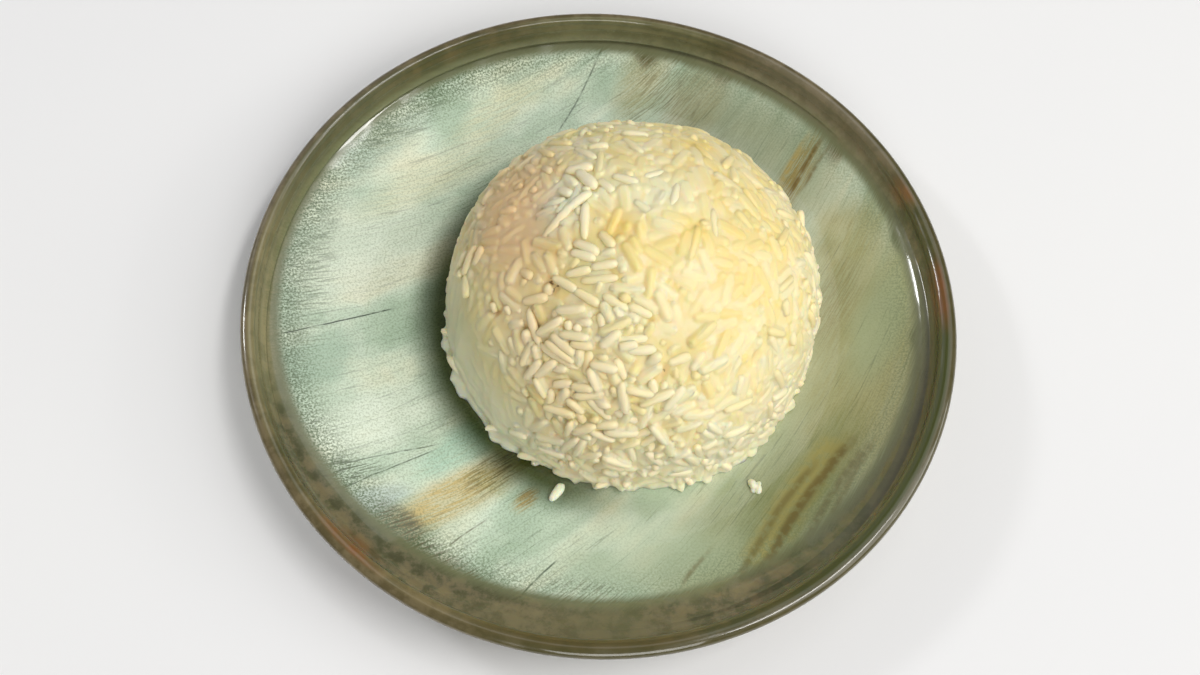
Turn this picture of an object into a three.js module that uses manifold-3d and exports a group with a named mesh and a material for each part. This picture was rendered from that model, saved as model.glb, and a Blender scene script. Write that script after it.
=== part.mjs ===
// A portion of boiled white rice on its plate, in millimetres, +Z up.
// The rice was pressed in a round bowl and turned out, so it is a tall dome with short upright sides.
// It stands a little off the middle of a round glazed coupe plate, and two stray bits of rice lie beside it.
// The origin is on the table, under the middle of the plate. The side nearest the diner is towards -Y.
import * as THREE from "three";
import { ConvexHull } from "three/addons/math/ConvexHull.js";
import { mergeVertices } from "three/addons/utils/BufferGeometryUtils.js";
import Module from "manifold-3d";

const wasm = await Module();
wasm.setup();

// Driving dimensions of the plate.
const PLATE_RADIUS = 102.5;
const PLATE_HEIGHT = 22;
const LIP_WIDTH = 4.6;
const LIP_RISE = 1.7;
const WELL_RADIUS = 94.5; // where the gently dished floor turns up into the wall
const WELL_RISE = 6; // how far the floor has risen there
const WELL_SHIFT = [-1.6, 2]; // how far off the middle the well was thrown
const FLAT_RADIUS = 60;
const FLOOR_TOP = 7.5;
const BASE_THICKNESS = 5;
const GAP = 0.3; // clear air between two pieces that touch
const FOOT_RADIUS = 57;
const FOOT_WIDTH = 4.5;
const PLATE_SEGMENTS = 56;

// Driving dimensions of the rice.
const DOME_X = 9;
const DOME_Y = 2.5;
const DOME_RADIUS = 53.5;
const DOME_HEIGHT = 61;
const DOME_SIDE = DOME_HEIGHT - DOME_RADIUS;
const DOME_WOBBLE = 0.008; // share of the radius by which the dome is out of round
const domeMiddle = new THREE.Vector3(0, 0, DOME_SIDE); // of its round top, over the middle of its foot
const GRAIN_LENGTH = 8.2;
const GRAIN_WIDTH = 2.8;
const COAT_GRAINS = 500; // grains pressed into the dome's surface, which show as ridges
const COAT_CHOICES = 12; // places tried for each of them
const COAT_GROOVE = 1.45; // depth of the grooves between them
const GROOVE_POINTS = 1900;
const GROOVE_STEP = 1.7; // nearest two corners in a groove
const FOOT_POINTS = 48;
const GRAIN_SIDES = 5;
const LOOSE_GRAINS = 44; // grains that stand out of the coat, all over
const CREST_GRAINS = 18; // grains that stand up at odd angles on the crown
const CREST_MIDDLE = [-0.13, -0.02]; // where those are, as x and y on a dome of radius 1
const CREST_SPREAD = 0.24;
const SKIRT_GRAINS = 14; // grains that lie splayed at the dome's foot

// The stray bits of rice: where each lies, and the length and heading of its grains.
const STRAY_GRAIN = { x: -7.4, y: -54.4, grains: [{ dx: 0, dy: 0, length: 7.2, heading: 57 }] };
const STRAY_CLUMP = {
  x: 47.8,
  y: -47.2,
  grains: [
    { dx: -0.7, dy: 0.6, length: 4.4, heading: -50 },
    { dx: 0.9, dy: -0.5, length: 4, heading: -80 },
  ],
};

// Colours and finishes.
const riceMaterial = new THREE.MeshStandardMaterial({ color: 0xf3e3ad, roughness: 0.5, metalness: 0 });
const strayMaterial = new THREE.MeshStandardMaterial({ color: 0xf2efd6, roughness: 0.5, metalness: 0 });
const glazeMaterial = new THREE.MeshStandardMaterial({ color: 0x93a384, roughness: 0.15, metalness: 0 });

// Draws the same numbers from 0 to 1 on each run.
function seededRandom(seed) {
  let state = seed;
  return () => {
    state = (state + 0x6d2b79f5) | 0;
    let t = Math.imul(state ^ (state >>> 15), 1 | state);
    t = (t + Math.imul(t ^ (t >>> 7), 61 | t)) ^ t;
    return ((t ^ (t >>> 14)) >>> 0) / 4294967296;
  };
}

// A closed geometry as a solid that can be joined and cut.
function solidFrom(geometry) {
  const bare = geometry.index ? geometry.toNonIndexed() : geometry.clone();
  bare.deleteAttribute("normal");
  bare.deleteAttribute("uv");
  const merged = mergeVertices(bare, 1e-4);
  return new wasm.Manifold(
    new wasm.Mesh({
      numProp: 3,
      vertProperties: new Float32Array(merged.attributes.position.array),
      triVerts: new Uint32Array(merged.index.array),
    }),
  );
}

// A solid as a geometry.
function geometryFrom(solid) {
  const mesh = solid.getMesh();
  const geometry = new THREE.BufferGeometry();
  geometry.setAttribute("position", new THREE.BufferAttribute(mesh.vertProperties, 3));
  geometry.setIndex(new THREE.BufferAttribute(mesh.triVerts, 1));
  geometry.computeVertexNormals();
  return geometry;
}

// A named piece whose own origin stands at a point of the plate's frame.
function placedMesh(name, geometry, material, x, y, z) {
  const mesh = new THREE.Mesh(geometry, material);
  mesh.name = name;
  mesh.position.set(x, y, z);
  return mesh;
}

// Points of an arc of an ellipse, in the lathe's plane, from one angle to another in degrees.
function ellipseArc(centre, halfWidth, halfHeight, from, to, steps) {
  return Array.from({ length: steps + 1 }, (_, i) => {
    const angle = THREE.MathUtils.degToRad(from + ((to - from) * i) / steps);
    return new THREE.Vector2(
      centre.x + halfWidth * Math.cos(angle),
      centre.y + halfHeight * Math.sin(angle),
    );
  });
}

// The height of the plate's upper face at a radius, out to the foot of the wall.
function floorHeight(radius) {
  const out = Math.max(0, (radius - FLAT_RADIUS) / (WELL_RADIUS - FLAT_RADIUS));
  return FLOOR_TOP + WELL_RISE * out ** 2;
}

// The plate: a flat foot ring, a thin body, a gently dished floor, a short wall and a rounded lip.
function plateGeometry() {
  const footTop = FLOOR_TOP - BASE_THICKNESS;
  const footInner = FOOT_RADIUS - FOOT_WIDTH;
  const lipCentre = new THREE.Vector2(PLATE_RADIUS - LIP_WIDTH / 2, PLATE_HEIGHT - LIP_RISE);
  const underside = [
    [0, footTop],
    [footInner - 0.8, footTop],
    [footInner + 0.5, 0],
    [FOOT_RADIUS - 0.6, 0],
    [FOOT_RADIUS, 0.6],
    [FOOT_RADIUS + 1, footTop],
    [77, footTop + 1.2],
    [90, footTop + 4.6],
    [99.2, footTop + 9.8],
  ].map(([r, z]) => new THREE.Vector2(r, z));
  const lip = ellipseArc(lipCentre, LIP_WIDTH / 2, LIP_RISE, -45, 160, 7);
  const wall = [
    new THREE.Vector2(WELL_RADIUS + 2.2, floorHeight(WELL_RADIUS) + 2.6),
    new THREE.Vector2(WELL_RADIUS + 0.4, floorHeight(WELL_RADIUS) + 0.7),
  ];
  const floor = [0.9, 0.78, FLAT_RADIUS / WELL_RADIUS].map(
    (share) => new THREE.Vector2(WELL_RADIUS * share, floorHeight(WELL_RADIUS * share)),
  );
  const profile = [...underside, ...lip, ...wall, ...floor, new THREE.Vector2(0, FLOOR_TOP)];
  const geometry = new THREE.LatheGeometry(profile, PLATE_SEGMENTS).rotateX(Math.PI / 2);
  shiftWell(geometry, lipCentre.x);
  return geometry;
}

// Moves the upper face sideways under the lip, most at the foot of the wall and not at all in the middle.
function shiftWell(geometry, lipRadius) {
  const position = geometry.attributes.position;
  const point = new THREE.Vector3();
  for (let i = 0; i < position.count; i += 1) {
    point.fromBufferAttribute(position, i);
    const radius = Math.hypot(point.x, point.y);
    const upper = point.z > floorHeight(Math.min(radius, WELL_RADIUS)) - 0.05;
    if (upper && radius < lipRadius) {
      const outer = (lipRadius - radius) / (lipRadius - WELL_RADIUS);
      const share = radius < WELL_RADIUS + 0.5 ? radius / WELL_RADIUS : outer;
      position.setX(i, point.x + WELL_SHIFT[0] * Math.min(1, share));
      position.setY(i, point.y + WELL_SHIFT[1] * Math.min(1, share));
    }
  }
  position.needsUpdate = true;
}

// How far out of round the dome is in a direction.
function wobble(turn, rise) {
  return (
    1 +
    DOME_WOBBLE * Math.sin(2 * turn + 0.6) +
    DOME_WOBBLE * 0.7 * Math.sin(3 * turn - 1.1 + 2 * rise) +
    DOME_WOBBLE * 0.5 * Math.sin(5 * turn + 3 * rise)
  );
}

// The way to a point of a sphere, from its rise above the level and its turn about +Z.
function direction(rise, turn) {
  const level = Math.cos(rise);
  return new THREE.Vector3(level * Math.cos(turn), level * Math.sin(turn), Math.sin(rise));
}

// A point of the dome's surface and the way out of it there.
// The rise is the angle above the middle of the round top. It is negative down the upright sides.
function domeSurface(rise, turn, depth) {
  const out = direction(Math.max(0, rise), turn);
  const point = out.clone().multiplyScalar((DOME_RADIUS - depth) * wobble(turn, rise));
  point.add(domeMiddle).setZ(point.z + DOME_RADIUS * Math.min(0, rise));
  return { point, out };
}

// The rise and turn of a point near the dome's surface.
function placeOnDome(point) {
  const from = point.clone().sub(domeMiddle);
  const turn = Math.atan2(from.y, from.x);
  const rise = from.z < 0 ? from.z / DOME_RADIUS : Math.atan2(from.z, Math.hypot(from.x, from.y));
  return { rise, turn };
}

// A place drawn at random, as likely in one part of the dome as in another: equal heights have equal areas.
function randomPlace(random) {
  const height = DOME_HEIGHT * random() - DOME_SIDE;
  const rise = height < 0 ? height / DOME_RADIUS : Math.asin(height / DOME_RADIUS);
  return { rise, turn: 2 * Math.PI * random() };
}

// A grain's length and width and how far its middle bows to one side.
function grainSize(random) {
  return {
    length: GRAIN_LENGTH * (0.8 + 0.4 * random()),
    width: GRAIN_WIDTH * (0.92 + 0.16 * random()),
    bend: GRAIN_WIDTH * 0.5 * (random() - 0.5),
  };
}

// Where a grain of the coat may lie: four points along its axis, on the dome's surface.
function lyingGrain(random, size) {
  const { rise, turn } = randomPlace(random);
  const { point, out } = domeSurface(rise, turn, 0);
  const axis = levelAxis(out, Math.PI * random());
  const steps = [-0.39, -0.13, 0.13, 0.39].map((share) => share * size.length);
  return { middle: point, ridge: steps.map((step) => point.clone().addScaledVector(axis, step)) };
}

// The direction along the surface that makes an angle with the level one.
function levelAxis(out, angle) {
  return new THREE.Vector3(-out.y, out.x, 0).normalize().applyAxisAngle(out, angle);
}

// How near a point comes to any of the grains' axes.
function nearestRidge(point, grains) {
  let nearest = Infinity;
  for (const { middle, ridge } of grains) {
    if (middle.distanceTo(point) < GRAIN_LENGTH) {
      for (const place of ridge) {
        nearest = Math.min(nearest, place.distanceTo(point));
      }
    }
  }
  return nearest;
}

// Grains over the whole dome, the longest laid first, each in the roomiest of a few places drawn at random.
function coatGrains(random) {
  const sizes = Array.from({ length: COAT_GRAINS }, () => grainSize(random));
  sizes.sort((a, b) => b.length - a.length);
  const laid = [];
  for (const size of sizes) {
    const places = Array.from({ length: COAT_CHOICES }, () => lyingGrain(random, size));
    const room = places.map(({ ridge }) => Math.min(...ridge.map((point) => nearestRidge(point, laid))));
    const roomiest = Math.max(...room);
    if (roomiest > GRAIN_WIDTH * 0.85) {
      laid.push(places[room.indexOf(roomiest)]);
    }
  }
  return laid;
}

// Corners in the grooves between the grains, no two close together.
function groovePoints(random, grains) {
  const points = [];
  for (let tries = 0; tries < GROOVE_POINTS * 8 && points.length < GROOVE_POINTS; tries += 1) {
    const { rise, turn } = randomPlace(random);
    const { point } = domeSurface(rise, turn, 0);
    const free = nearestRidge(point, grains) > GRAIN_WIDTH / 2;
    if (free && points.every((other) => other.distanceTo(point) > GROOVE_STEP)) {
      points.push(point);
    }
  }
  return points;
}

// The dome with its coat of grains, closed by a flat foot.
// Its corners are joined as neighbours on a sphere, and then moved to where they belong.
function coatGeometry(random) {
  const lowest = -DOME_SIDE / DOME_RADIUS;
  const grains = coatGrains(random);
  const ends = grains.flatMap(({ ridge }) => [ridge[0], ridge[3]]).map((point) => [point, COAT_GROOVE * 0.3]);
  const bellies = grains.flatMap(({ ridge }) => [ridge[1], ridge[2]]).map((point) => [point, 0]);
  const grooves = groovePoints(random, grains).map((point) => [point, COAT_GROOVE * (0.8 + 0.4 * random())]);
  const places = [...ends, ...bellies, ...grooves]
    .map(([point, depth]) => ({ ...placeOnDome(point), depth }))
    .filter(({ rise }) => rise > lowest + GROOVE_STEP / 2 / DOME_RADIUS);
  for (let i = 0; i < FOOT_POINTS; i += 1) {
    places.push({ rise: lowest, turn: (2 * Math.PI * i) / FOOT_POINTS, depth: COAT_GROOVE * random() });
  }
  const corners = new Map();
  for (const { rise, turn, depth } of places) {
    corners.set(direction(rise, turn), domeSurface(rise, turn, depth).point);
  }
  const hull = new ConvexHull().setFromPoints([...corners.keys()]);
  const triangles = hull.faces.flatMap(({ edge }) => [edge, edge.next, edge.next.next]);
  return new THREE.BufferGeometry().setFromPoints(triangles.map((side) => corners.get(side.head().point)));
}

// One grain along X: blunt ends, a belly, and a slight bend.
function grainGeometry({ length, width, bend }) {
  const bow = (x) => bend * (1 - (2 * x / length) ** 2);
  const rings = [-0.33 * length, 0.33 * length].map((x) =>
    Array.from({ length: GRAIN_SIDES }, (_, i) => {
      const angle = (2 * Math.PI * i) / GRAIN_SIDES - Math.PI / 2;
      return new THREE.Vector3(x, (width / 2) * Math.cos(angle) + bow(x), (width / 2) * Math.sin(angle));
    }),
  );
  const tips = [new THREE.Vector3(-length / 2, 0, 0), new THREE.Vector3(length / 2, 0, 0)];
  const corners = [];
  for (let i = 0; i < GRAIN_SIDES; i += 1) {
    const next = (i + 1) % GRAIN_SIDES;
    corners.push(tips[0], rings[0][next], rings[0][i], tips[1], rings[1][i], rings[1][next]);
    corners.push(rings[0][i], rings[0][next], rings[1][next], rings[0][i], rings[1][next], rings[1][i]);
  }
  return new THREE.BufferGeometry().setFromPoints(corners);
}

// Stands a grain on the dome: its belly faces out, and a lean tips one end up and the other in.
function standingGrain(random, rise, turn, depth, lean) {
  const { point, out } = domeSurface(rise, turn, depth);
  const along = levelAxis(out, 2 * Math.PI * random());
  const side = new THREE.Vector3().crossVectors(out, along);
  along.applyAxisAngle(side, -lean);
  const up = new THREE.Vector3().crossVectors(along, side);
  const matrix = new THREE.Matrix4().makeBasis(along, side, up).setPosition(point);
  return grainGeometry(grainSize(random)).applyMatrix4(matrix);
}

// Grains that stand out of the coat, nearly lying, all over the dome.
function looseGrains(random) {
  return Array.from({ length: LOOSE_GRAINS }, () => {
    const { rise, turn } = randomPlace(random);
    return standingGrain(random, rise, turn, GRAIN_WIDTH * 0.3, 0.1 + 0.25 * random());
  });
}

// Grains that stand up at odd angles on the crown.
function crestGrains(random) {
  return Array.from({ length: CREST_GRAINS }, () => {
    const [x, y] = CREST_MIDDLE.map((middle) => middle + CREST_SPREAD * (2 * random() - 1));
    return standingGrain(random, Math.acos(Math.hypot(x, y)), Math.atan2(y, x), 0.3, 0.3 + 0.4 * random());
  });
}

// Grains that lie splayed round the foot, flat on the plate.
function skirtGrains(random) {
  return Array.from({ length: SKIRT_GRAINS }, (_, i) => {
    const turn = (2 * Math.PI * (i + 0.6 * random())) / SKIRT_GRAINS;
    const { point, out } = domeSurface(-DOME_SIDE / DOME_RADIUS, turn, COAT_GROOVE);
    const along = out.applyAxisAngle(new THREE.Vector3(0, 0, 1), 1.6 * (random() - 0.5));
    const geometry = grainGeometry(grainSize(random)).rotateZ(Math.atan2(along.y, along.x));
    return geometry.translate(point.x, point.y, point.z + GRAIN_WIDTH / 2);
  });
}

// The whole heap: the coated dome and its standing grains as one solid, cut flat where it rests on the plate.
function riceGeometry() {
  const random = seededRandom(22);
  const dome = solidFrom(coatGeometry(random));
  const grains = [...looseGrains(random), ...crestGrains(random), ...skirtGrains(random)].map(solidFrom);
  const heap = grains.reduce((joined, grain) => joined.add(grain), dome);
  const below = new THREE.BoxGeometry(4 * DOME_RADIUS, 4 * DOME_RADIUS, GRAIN_LENGTH);
  return geometryFrom(heap.subtract(solidFrom(below.translate(0, 0, -GRAIN_LENGTH / 2))));
}

// A stray bit of rice: whole or broken grains stuck together, lying on the plate.
function strayMesh(name, { x, y, grains }) {
  const pieces = grains.map(({ dx, dy, length, heading }) => {
    const geometry = grainGeometry({ length, width: GRAIN_WIDTH, bend: 0.3 });
    return solidFrom(geometry.rotateZ(THREE.MathUtils.degToRad(heading)).translate(dx, dy, 0));
  });
  const geometry = geometryFrom(pieces.reduce((joined, piece) => joined.add(piece)));
  const rest = floorHeight(Math.hypot(x, y)) + 2 * GAP + GRAIN_WIDTH / 2;
  return placedMesh(name, geometry, strayMaterial, x, y, rest);
}

const plateOfRice = new THREE.Group();
plateOfRice.add(placedMesh("plate", plateGeometry(), glazeMaterial, 0, 0, 0));
plateOfRice.add(placedMesh("rice", riceGeometry(), riceMaterial, DOME_X, DOME_Y, FLOOR_TOP + GAP));
plateOfRice.add(strayMesh("stray_grain", STRAY_GRAIN));
plateOfRice.add(strayMesh("stray_clump", STRAY_CLUMP));

export default plateOfRice;
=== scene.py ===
"""A plate of plain steamed rice: a moulded dome of rice on a streaky glazed stoneware plate.

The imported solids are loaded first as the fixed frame. The plate, the rice and the two
stray bits are then modelled in detail in the places of their solids.
"""
import logging
import math
from contextlib import contextmanager
from dataclasses import dataclass
from enum import Enum
from typing import Any, Iterator, Optional

import bpy
import numpy as np
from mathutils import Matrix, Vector
from mathutils.kdtree import KDTree


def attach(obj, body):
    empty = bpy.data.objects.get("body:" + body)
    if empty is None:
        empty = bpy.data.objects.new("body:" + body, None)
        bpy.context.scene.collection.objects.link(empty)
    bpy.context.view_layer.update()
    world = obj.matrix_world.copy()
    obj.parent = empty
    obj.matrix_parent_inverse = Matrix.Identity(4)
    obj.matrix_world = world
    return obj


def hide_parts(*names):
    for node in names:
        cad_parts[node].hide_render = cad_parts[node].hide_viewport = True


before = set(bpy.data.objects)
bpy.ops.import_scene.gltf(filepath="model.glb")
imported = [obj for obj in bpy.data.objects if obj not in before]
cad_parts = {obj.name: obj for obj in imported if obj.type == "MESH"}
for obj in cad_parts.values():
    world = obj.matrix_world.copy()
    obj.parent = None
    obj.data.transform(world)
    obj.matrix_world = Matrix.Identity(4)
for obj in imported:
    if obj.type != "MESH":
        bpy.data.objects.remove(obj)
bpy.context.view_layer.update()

logging.basicConfig(level=logging.INFO, format="%(message)s")
LOG = logging.getLogger("rice_plate")

MM = 0.001
BODY = "root"
SEED = 22
GOLDEN_TURN = 2.399963
Colour = tuple[int, int, int]
Triple = tuple[float, float, float]
Outline = tuple[tuple[float, float], ...]
Ladder = tuple[tuple[float, Colour], ...]
Array = np.ndarray
Piece = bpy.types.Object
Socket = bpy.types.NodeSocket
Material = bpy.types.Material


def select_only(piece: Piece) -> None:
    """Selects one object alone and makes it the active one.

    Args:
        piece: The object to select.
    """
    bpy.ops.object.select_all(action="DESELECT")
    piece.select_set(True)
    bpy.context.view_layer.objects.active = piece


def added(operator: Any, **settings: Any) -> Piece:
    """Adds an object by one of Blender's operators.

    Args:
        operator: The operator that adds it.
        **settings: What the operator is told.

    Returns:
        The new object.
    """
    bpy.ops.object.select_all(action="DESELECT")
    operator(**settings)
    return bpy.context.object


@contextmanager
def edit_mode(piece: Piece) -> Iterator[None]:
    """Opens one object in edit mode, with nothing selected.

    Args:
        piece: The mesh object to edit.

    Returns:
        A context that goes back to object mode at its end.
    """
    select_only(piece)
    bpy.ops.object.mode_set(mode="EDIT")
    bpy.ops.mesh.select_mode(type="VERT")
    bpy.ops.mesh.select_all(action="DESELECT")
    yield
    bpy.ops.object.mode_set(mode="OBJECT")


def vertex_places(piece: Piece) -> Array:
    """Reads the places of an object's vertices.

    Args:
        piece: The mesh object to read.

    Returns:
        An array of shape (count, 3), in metres.
    """
    places = np.empty(len(piece.data.vertices) * 3)
    piece.data.vertices.foreach_get("co", places)
    return places.reshape(-1, 3)


def move_vertices(piece: Piece, places: Array) -> None:
    """Puts an object's vertices at the given places, in metres."""
    piece.data.vertices.foreach_set("co", places.ravel())
    piece.data.update()


def pick_vertices(piece: Piece, chosen: Array) -> None:
    """Selects vertices by a mask, from inside edit mode.

    Args:
        piece: The mesh object that is open in edit mode.
        chosen: One truth value for each vertex.
    """
    bpy.ops.mesh.select_all(action="DESELECT")
    bpy.ops.object.mode_set(mode="OBJECT")
    piece.data.vertices.foreach_set("select", chosen)
    bpy.ops.object.mode_set(mode="EDIT")


def apply_modifier(piece: Piece, kind: str, **settings: Any) -> None:
    """Adds a modifier to an object and applies it.

    Args:
        piece: The mesh object to change.
        kind: The modifier's type.
        **settings: The modifier's properties.
    """
    select_only(piece)
    bpy.ops.object.modifier_add(type=kind)
    modifier = piece.modifiers[-1]
    for key, value in settings.items():
        setattr(modifier, key, value)
    bpy.ops.object.modifier_apply(modifier=modifier.name)


def weigh_vertices(piece: Piece, name: str, weights: Array) -> None:
    """Writes a vertex group that a modifier can follow.

    Args:
        piece: The mesh object.
        name: The group's name.
        weights: One weight for each vertex, from 0 to 1.
    """
    group = piece.vertex_groups.new(name=name)
    for index in np.flatnonzero(weights > 0.0):
        group.add([int(index)], float(weights[index]), "REPLACE")


def write_attribute(piece: Piece, name: str, values: Array) -> None:
    """Stores one number at each vertex for a material to read."""
    attribute = piece.data.attributes.new(name, "FLOAT", "POINT")
    attribute.data.foreach_set("value", values.astype(np.float32))


def tidy_surface(piece: Piece, merge: float) -> None:
    """Merges doubled vertices and turns all faces outwards.

    Args:
        piece: The mesh object.
        merge: The distance under which vertices become one, in metres.
    """
    with edit_mode(piece):
        bpy.ops.mesh.select_all(action="SELECT")
        bpy.ops.mesh.remove_doubles(threshold=merge)
        bpy.ops.mesh.normals_make_consistent(inside=False)


def smooth_shading(piece: Piece) -> None:
    """Shades an object's faces smoothly."""
    select_only(piece)
    bpy.ops.object.shade_smooth()


def mount_piece(piece: Piece, node: str, material: Material) -> None:
    """Dresses a finished piece and ties it to the frame.

    Args:
        piece: The finished mesh object.
        node: The solid that the piece stands for.
        material: The piece's finish.
    """
    piece.data.materials.clear()
    piece.data.materials.append(material)
    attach(piece, BODY)
    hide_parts(node)
    LOG.info("%s: %d faces", piece.name, len(piece.data.polygons))


def smooth_step(value: Array, low: float, high: float) -> Array:
    """Rises from 0 at the value low to 1 at the value high along a smooth curve."""
    share = np.clip((value - low) / (high - low), 0.0, 1.0)
    return share * share * (3.0 - 2.0 * share)


def ripple(points: Array, wave: float, seed: int) -> Array:
    """A smooth random field made of crossing waves.

    Args:
        points: Places of shape (count, 3).
        wave: The usual wavelength, in the same unit.
        seed: Chooses the field.

    Returns:
        One number for each place, mostly from -1 to 1.
    """
    rng = np.random.default_rng(seed)
    total = np.zeros(len(points))
    waves = 9
    for _ in range(waves):
        heading = rng.normal(size=3)
        heading /= np.linalg.norm(heading)
        pace = 2.0 * math.pi / (wave * rng.uniform(0.7, 1.5))
        total += np.sin(points @ heading * pace + rng.uniform(0.0, 2.0 * math.pi))
    return total / math.sqrt(waves)


class Recipe:
    """A material while its nodes are put together."""

    def __init__(self, name: str) -> None:
        """Starts with an empty principled surface.

        Args:
            name: The material's name.
        """
        self.material = bpy.data.materials.new(name)
        self.material.use_nodes = True
        self.tree = self.material.node_tree
        self.tree.nodes.clear()
        self.surface = self.node("ShaderNodeBsdfPrincipled")
        output = self.node("ShaderNodeOutputMaterial")
        self.tree.links.new(self.surface.outputs[0], output.inputs["Surface"])

    def node(self, kind: str, **settings: Any) -> bpy.types.Node:
        """Adds a node and sets its properties.

        Args:
            kind: The node's type.
            **settings: The node's properties.

        Returns:
            The new node.
        """
        made = self.tree.nodes.new(kind)
        for key, value in settings.items():
            setattr(made, key, value)
        return made

    def feed(self, socket: Socket, value: Any) -> None:
        """Joins a socket to another one, or gives it a fixed value.

        Args:
            socket: The socket that takes the value.
            value: A number, vector, colour or socket.
        """
        if isinstance(value, Socket):
            self.tree.links.new(value, socket)
        else:
            socket.default_value = value

    def place(self) -> Socket:
        """Reads the surface's own place on the piece.

        Returns:
            The place's socket, in millimetres.
        """
        coordinates = self.node("ShaderNodeTexCoord")
        scale = self.node("ShaderNodeMapping", vector_type="POINT")
        self.feed(scale.inputs["Vector"], coordinates.outputs["Object"])
        scale.inputs["Scale"].default_value = (1.0 / MM, 1.0 / MM, 1.0 / MM)
        return scale.outputs[0]

    def maths(self, operation: str, first: Any, second: Any = 0.0, third: Any = 0.0) -> Socket:
        """Does one sum.

        Args:
            operation: The sum's name.
            first: A number or socket.
            second: A number or socket.
            third: A number or socket.

        Returns:
            The result's socket.
        """
        made = self.node("ShaderNodeMath", operation=operation)
        for socket, value in zip(made.inputs, (first, second, third)):
            self.feed(socket, value)
        return made.outputs[0]

    def product(self, *factors: Any) -> Any:
        """Multiplies numbers and sockets, from the first to the last.

        Args:
            *factors: Numbers or sockets.

        Returns:
            The result's socket.
        """
        result = factors[0]
        for factor in factors[1:]:
            result = self.maths("MULTIPLY", result, factor)
        return result

    def scaled(self, value: Any, factor: Any, added: Any) -> Socket:
        """Multiplies a number or socket by a factor and adds another."""
        return self.maths("MULTIPLY_ADD", value, factor, added)

    def vector(self, operation: str, first: Any, second: Any = (0.0, 0.0, 0.0)) -> bpy.types.Node:
        """Does one sum with vectors.

        Args:
            operation: The sum's name.
            first: A vector or socket.
            second: A vector or socket.

        Returns:
            The node, with the result as its first output.
        """
        made = self.node("ShaderNodeVectorMath", operation=operation)
        self.feed(made.inputs[0], first)
        self.feed(made.inputs[1], second)
        return made

    def away(self, vector: Any, x: float, y: float) -> Socket:
        """Gives the offset of a place from a fixed one."""
        return self.vector("SUBTRACT", vector, (x, y, 0.0)).outputs[0]

    def measured(self, vector: Any, x: float, y: float) -> Socket:
        """Measures a vector along a level direction."""
        return self.vector("DOT_PRODUCT", vector, (x, y, 0.0)).outputs["Value"]

    def split(self, vector: Any) -> bpy.types.bpy_prop_collection:
        """Splits a vector.

        Args:
            vector: The vector's socket.

        Returns:
            Its x, y and z sockets.
        """
        made = self.node("ShaderNodeSeparateXYZ")
        self.feed(made.inputs[0], vector)
        return made.outputs

    def combine(self, x: Any, y: Any, z: Any = 0.0) -> Socket:
        """Makes a vector.

        Args:
            x: A number or socket.
            y: A number or socket.
            z: A number or socket.

        Returns:
            The vector's socket.
        """
        made = self.node("ShaderNodeCombineXYZ")
        for socket, value in zip(made.inputs, (x, y, z)):
            self.feed(socket, value)
        return made.outputs[0]

    def span(self, value: Any, low: float, high: float, start: float = 0.0, end: float = 1.0) -> Socket:
        """Maps a range of numbers smoothly onto another, without going past its ends.

        Args:
            value: A number or socket.
            low: The number that gives start.
            high: The number that gives end.
            start: The result's first value.
            end: The result's last value.

        Returns:
            The result's socket.
        """
        made = self.node("ShaderNodeMapRange", interpolation_type="SMOOTHSTEP")
        for socket, number in zip(made.inputs, (value, low, high, start, end)):
            self.feed(socket, number)
        return made.outputs[0]

    def noise(self, vector: Any, scale: float, detail: float = 2.0, roughness: float = 0.5) -> Socket:
        """Adds a cloudy pattern.

        Args:
            vector: The place to read.
            scale: The number of clouds in one unit.
            detail: How many finer layers lie on top.
            roughness: How strong these layers are.

        Returns:
            A socket with numbers around 0.5.
        """
        made = self.node("ShaderNodeTexNoise")
        self.feed(made.inputs["Vector"], vector)
        made.inputs["Scale"].default_value = scale
        made.inputs["Detail"].default_value = detail
        made.inputs["Roughness"].default_value = roughness
        return made.outputs[0]

    def tint(self, share: Any, under: Any, over: Any, mode: str = "MIX") -> Socket:
        """Lays one colour over another.

        Args:
            share: How much of the upper colour shows.
            under: The lower colour, as sRGB numbers or a socket.
            over: The upper colour, as sRGB numbers or a socket.
            mode: How the two are mixed.

        Returns:
            The mixed colour's socket.
        """
        made = self.node("ShaderNodeMix", data_type="RGBA", blend_type=mode)
        self.feed(made.inputs[0], share)
        for socket, colour in ((made.inputs[6], under), (made.inputs[7], over)):
            self.feed(socket, colour if isinstance(colour, Socket) else light(colour))
        return made.outputs[2]

    def ladder(self, value: Any, steps: Ladder) -> Socket:
        """Turns a number into a colour through several steps.

        Args:
            value: The number's socket.
            steps: Pairs of a position and an sRGB colour.

        Returns:
            The colour's socket.
        """
        made = self.node("ShaderNodeValToRGB")
        self.feed(made.inputs[0], value)
        elements = made.color_ramp.elements
        while len(elements) < len(steps):
            elements.new(0.5)
        for element, (position, colour) in zip(elements, steps):
            element.position = position
            element.color = light(colour)
        return made.outputs[0]

    def relief(self, height: Any, depth: float, under: Optional[Any] = None) -> Socket:
        """Turns a height into a fine relief of the surface.

        Args:
            height: The height's socket.
            depth: The relief's depth at height 1, in metres.
            under: A relief that lies below this one.

        Returns:
            The normal's socket.
        """
        made = self.node("ShaderNodeBump")
        made.inputs["Distance"].default_value = depth
        self.feed(made.inputs["Height"], height)
        if under is not None:
            self.feed(made.inputs["Normal"], under)
        return made.outputs[0]

    def finished(self, settings: dict[str, Any]) -> Material:
        """Sets the surface's sockets.

        Args:
            settings: A value or socket for each of the surface's sockets.

        Returns:
            The finished material.
        """
        for name, value in settings.items():
            self.feed(self.surface.inputs[name], value)
        return self.material

    def reading(self, name: str) -> Socket:
        """Reads a number that is stored on the mesh."""
        return self.node("ShaderNodeAttribute", attribute_name=name).outputs["Fac"]


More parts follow.
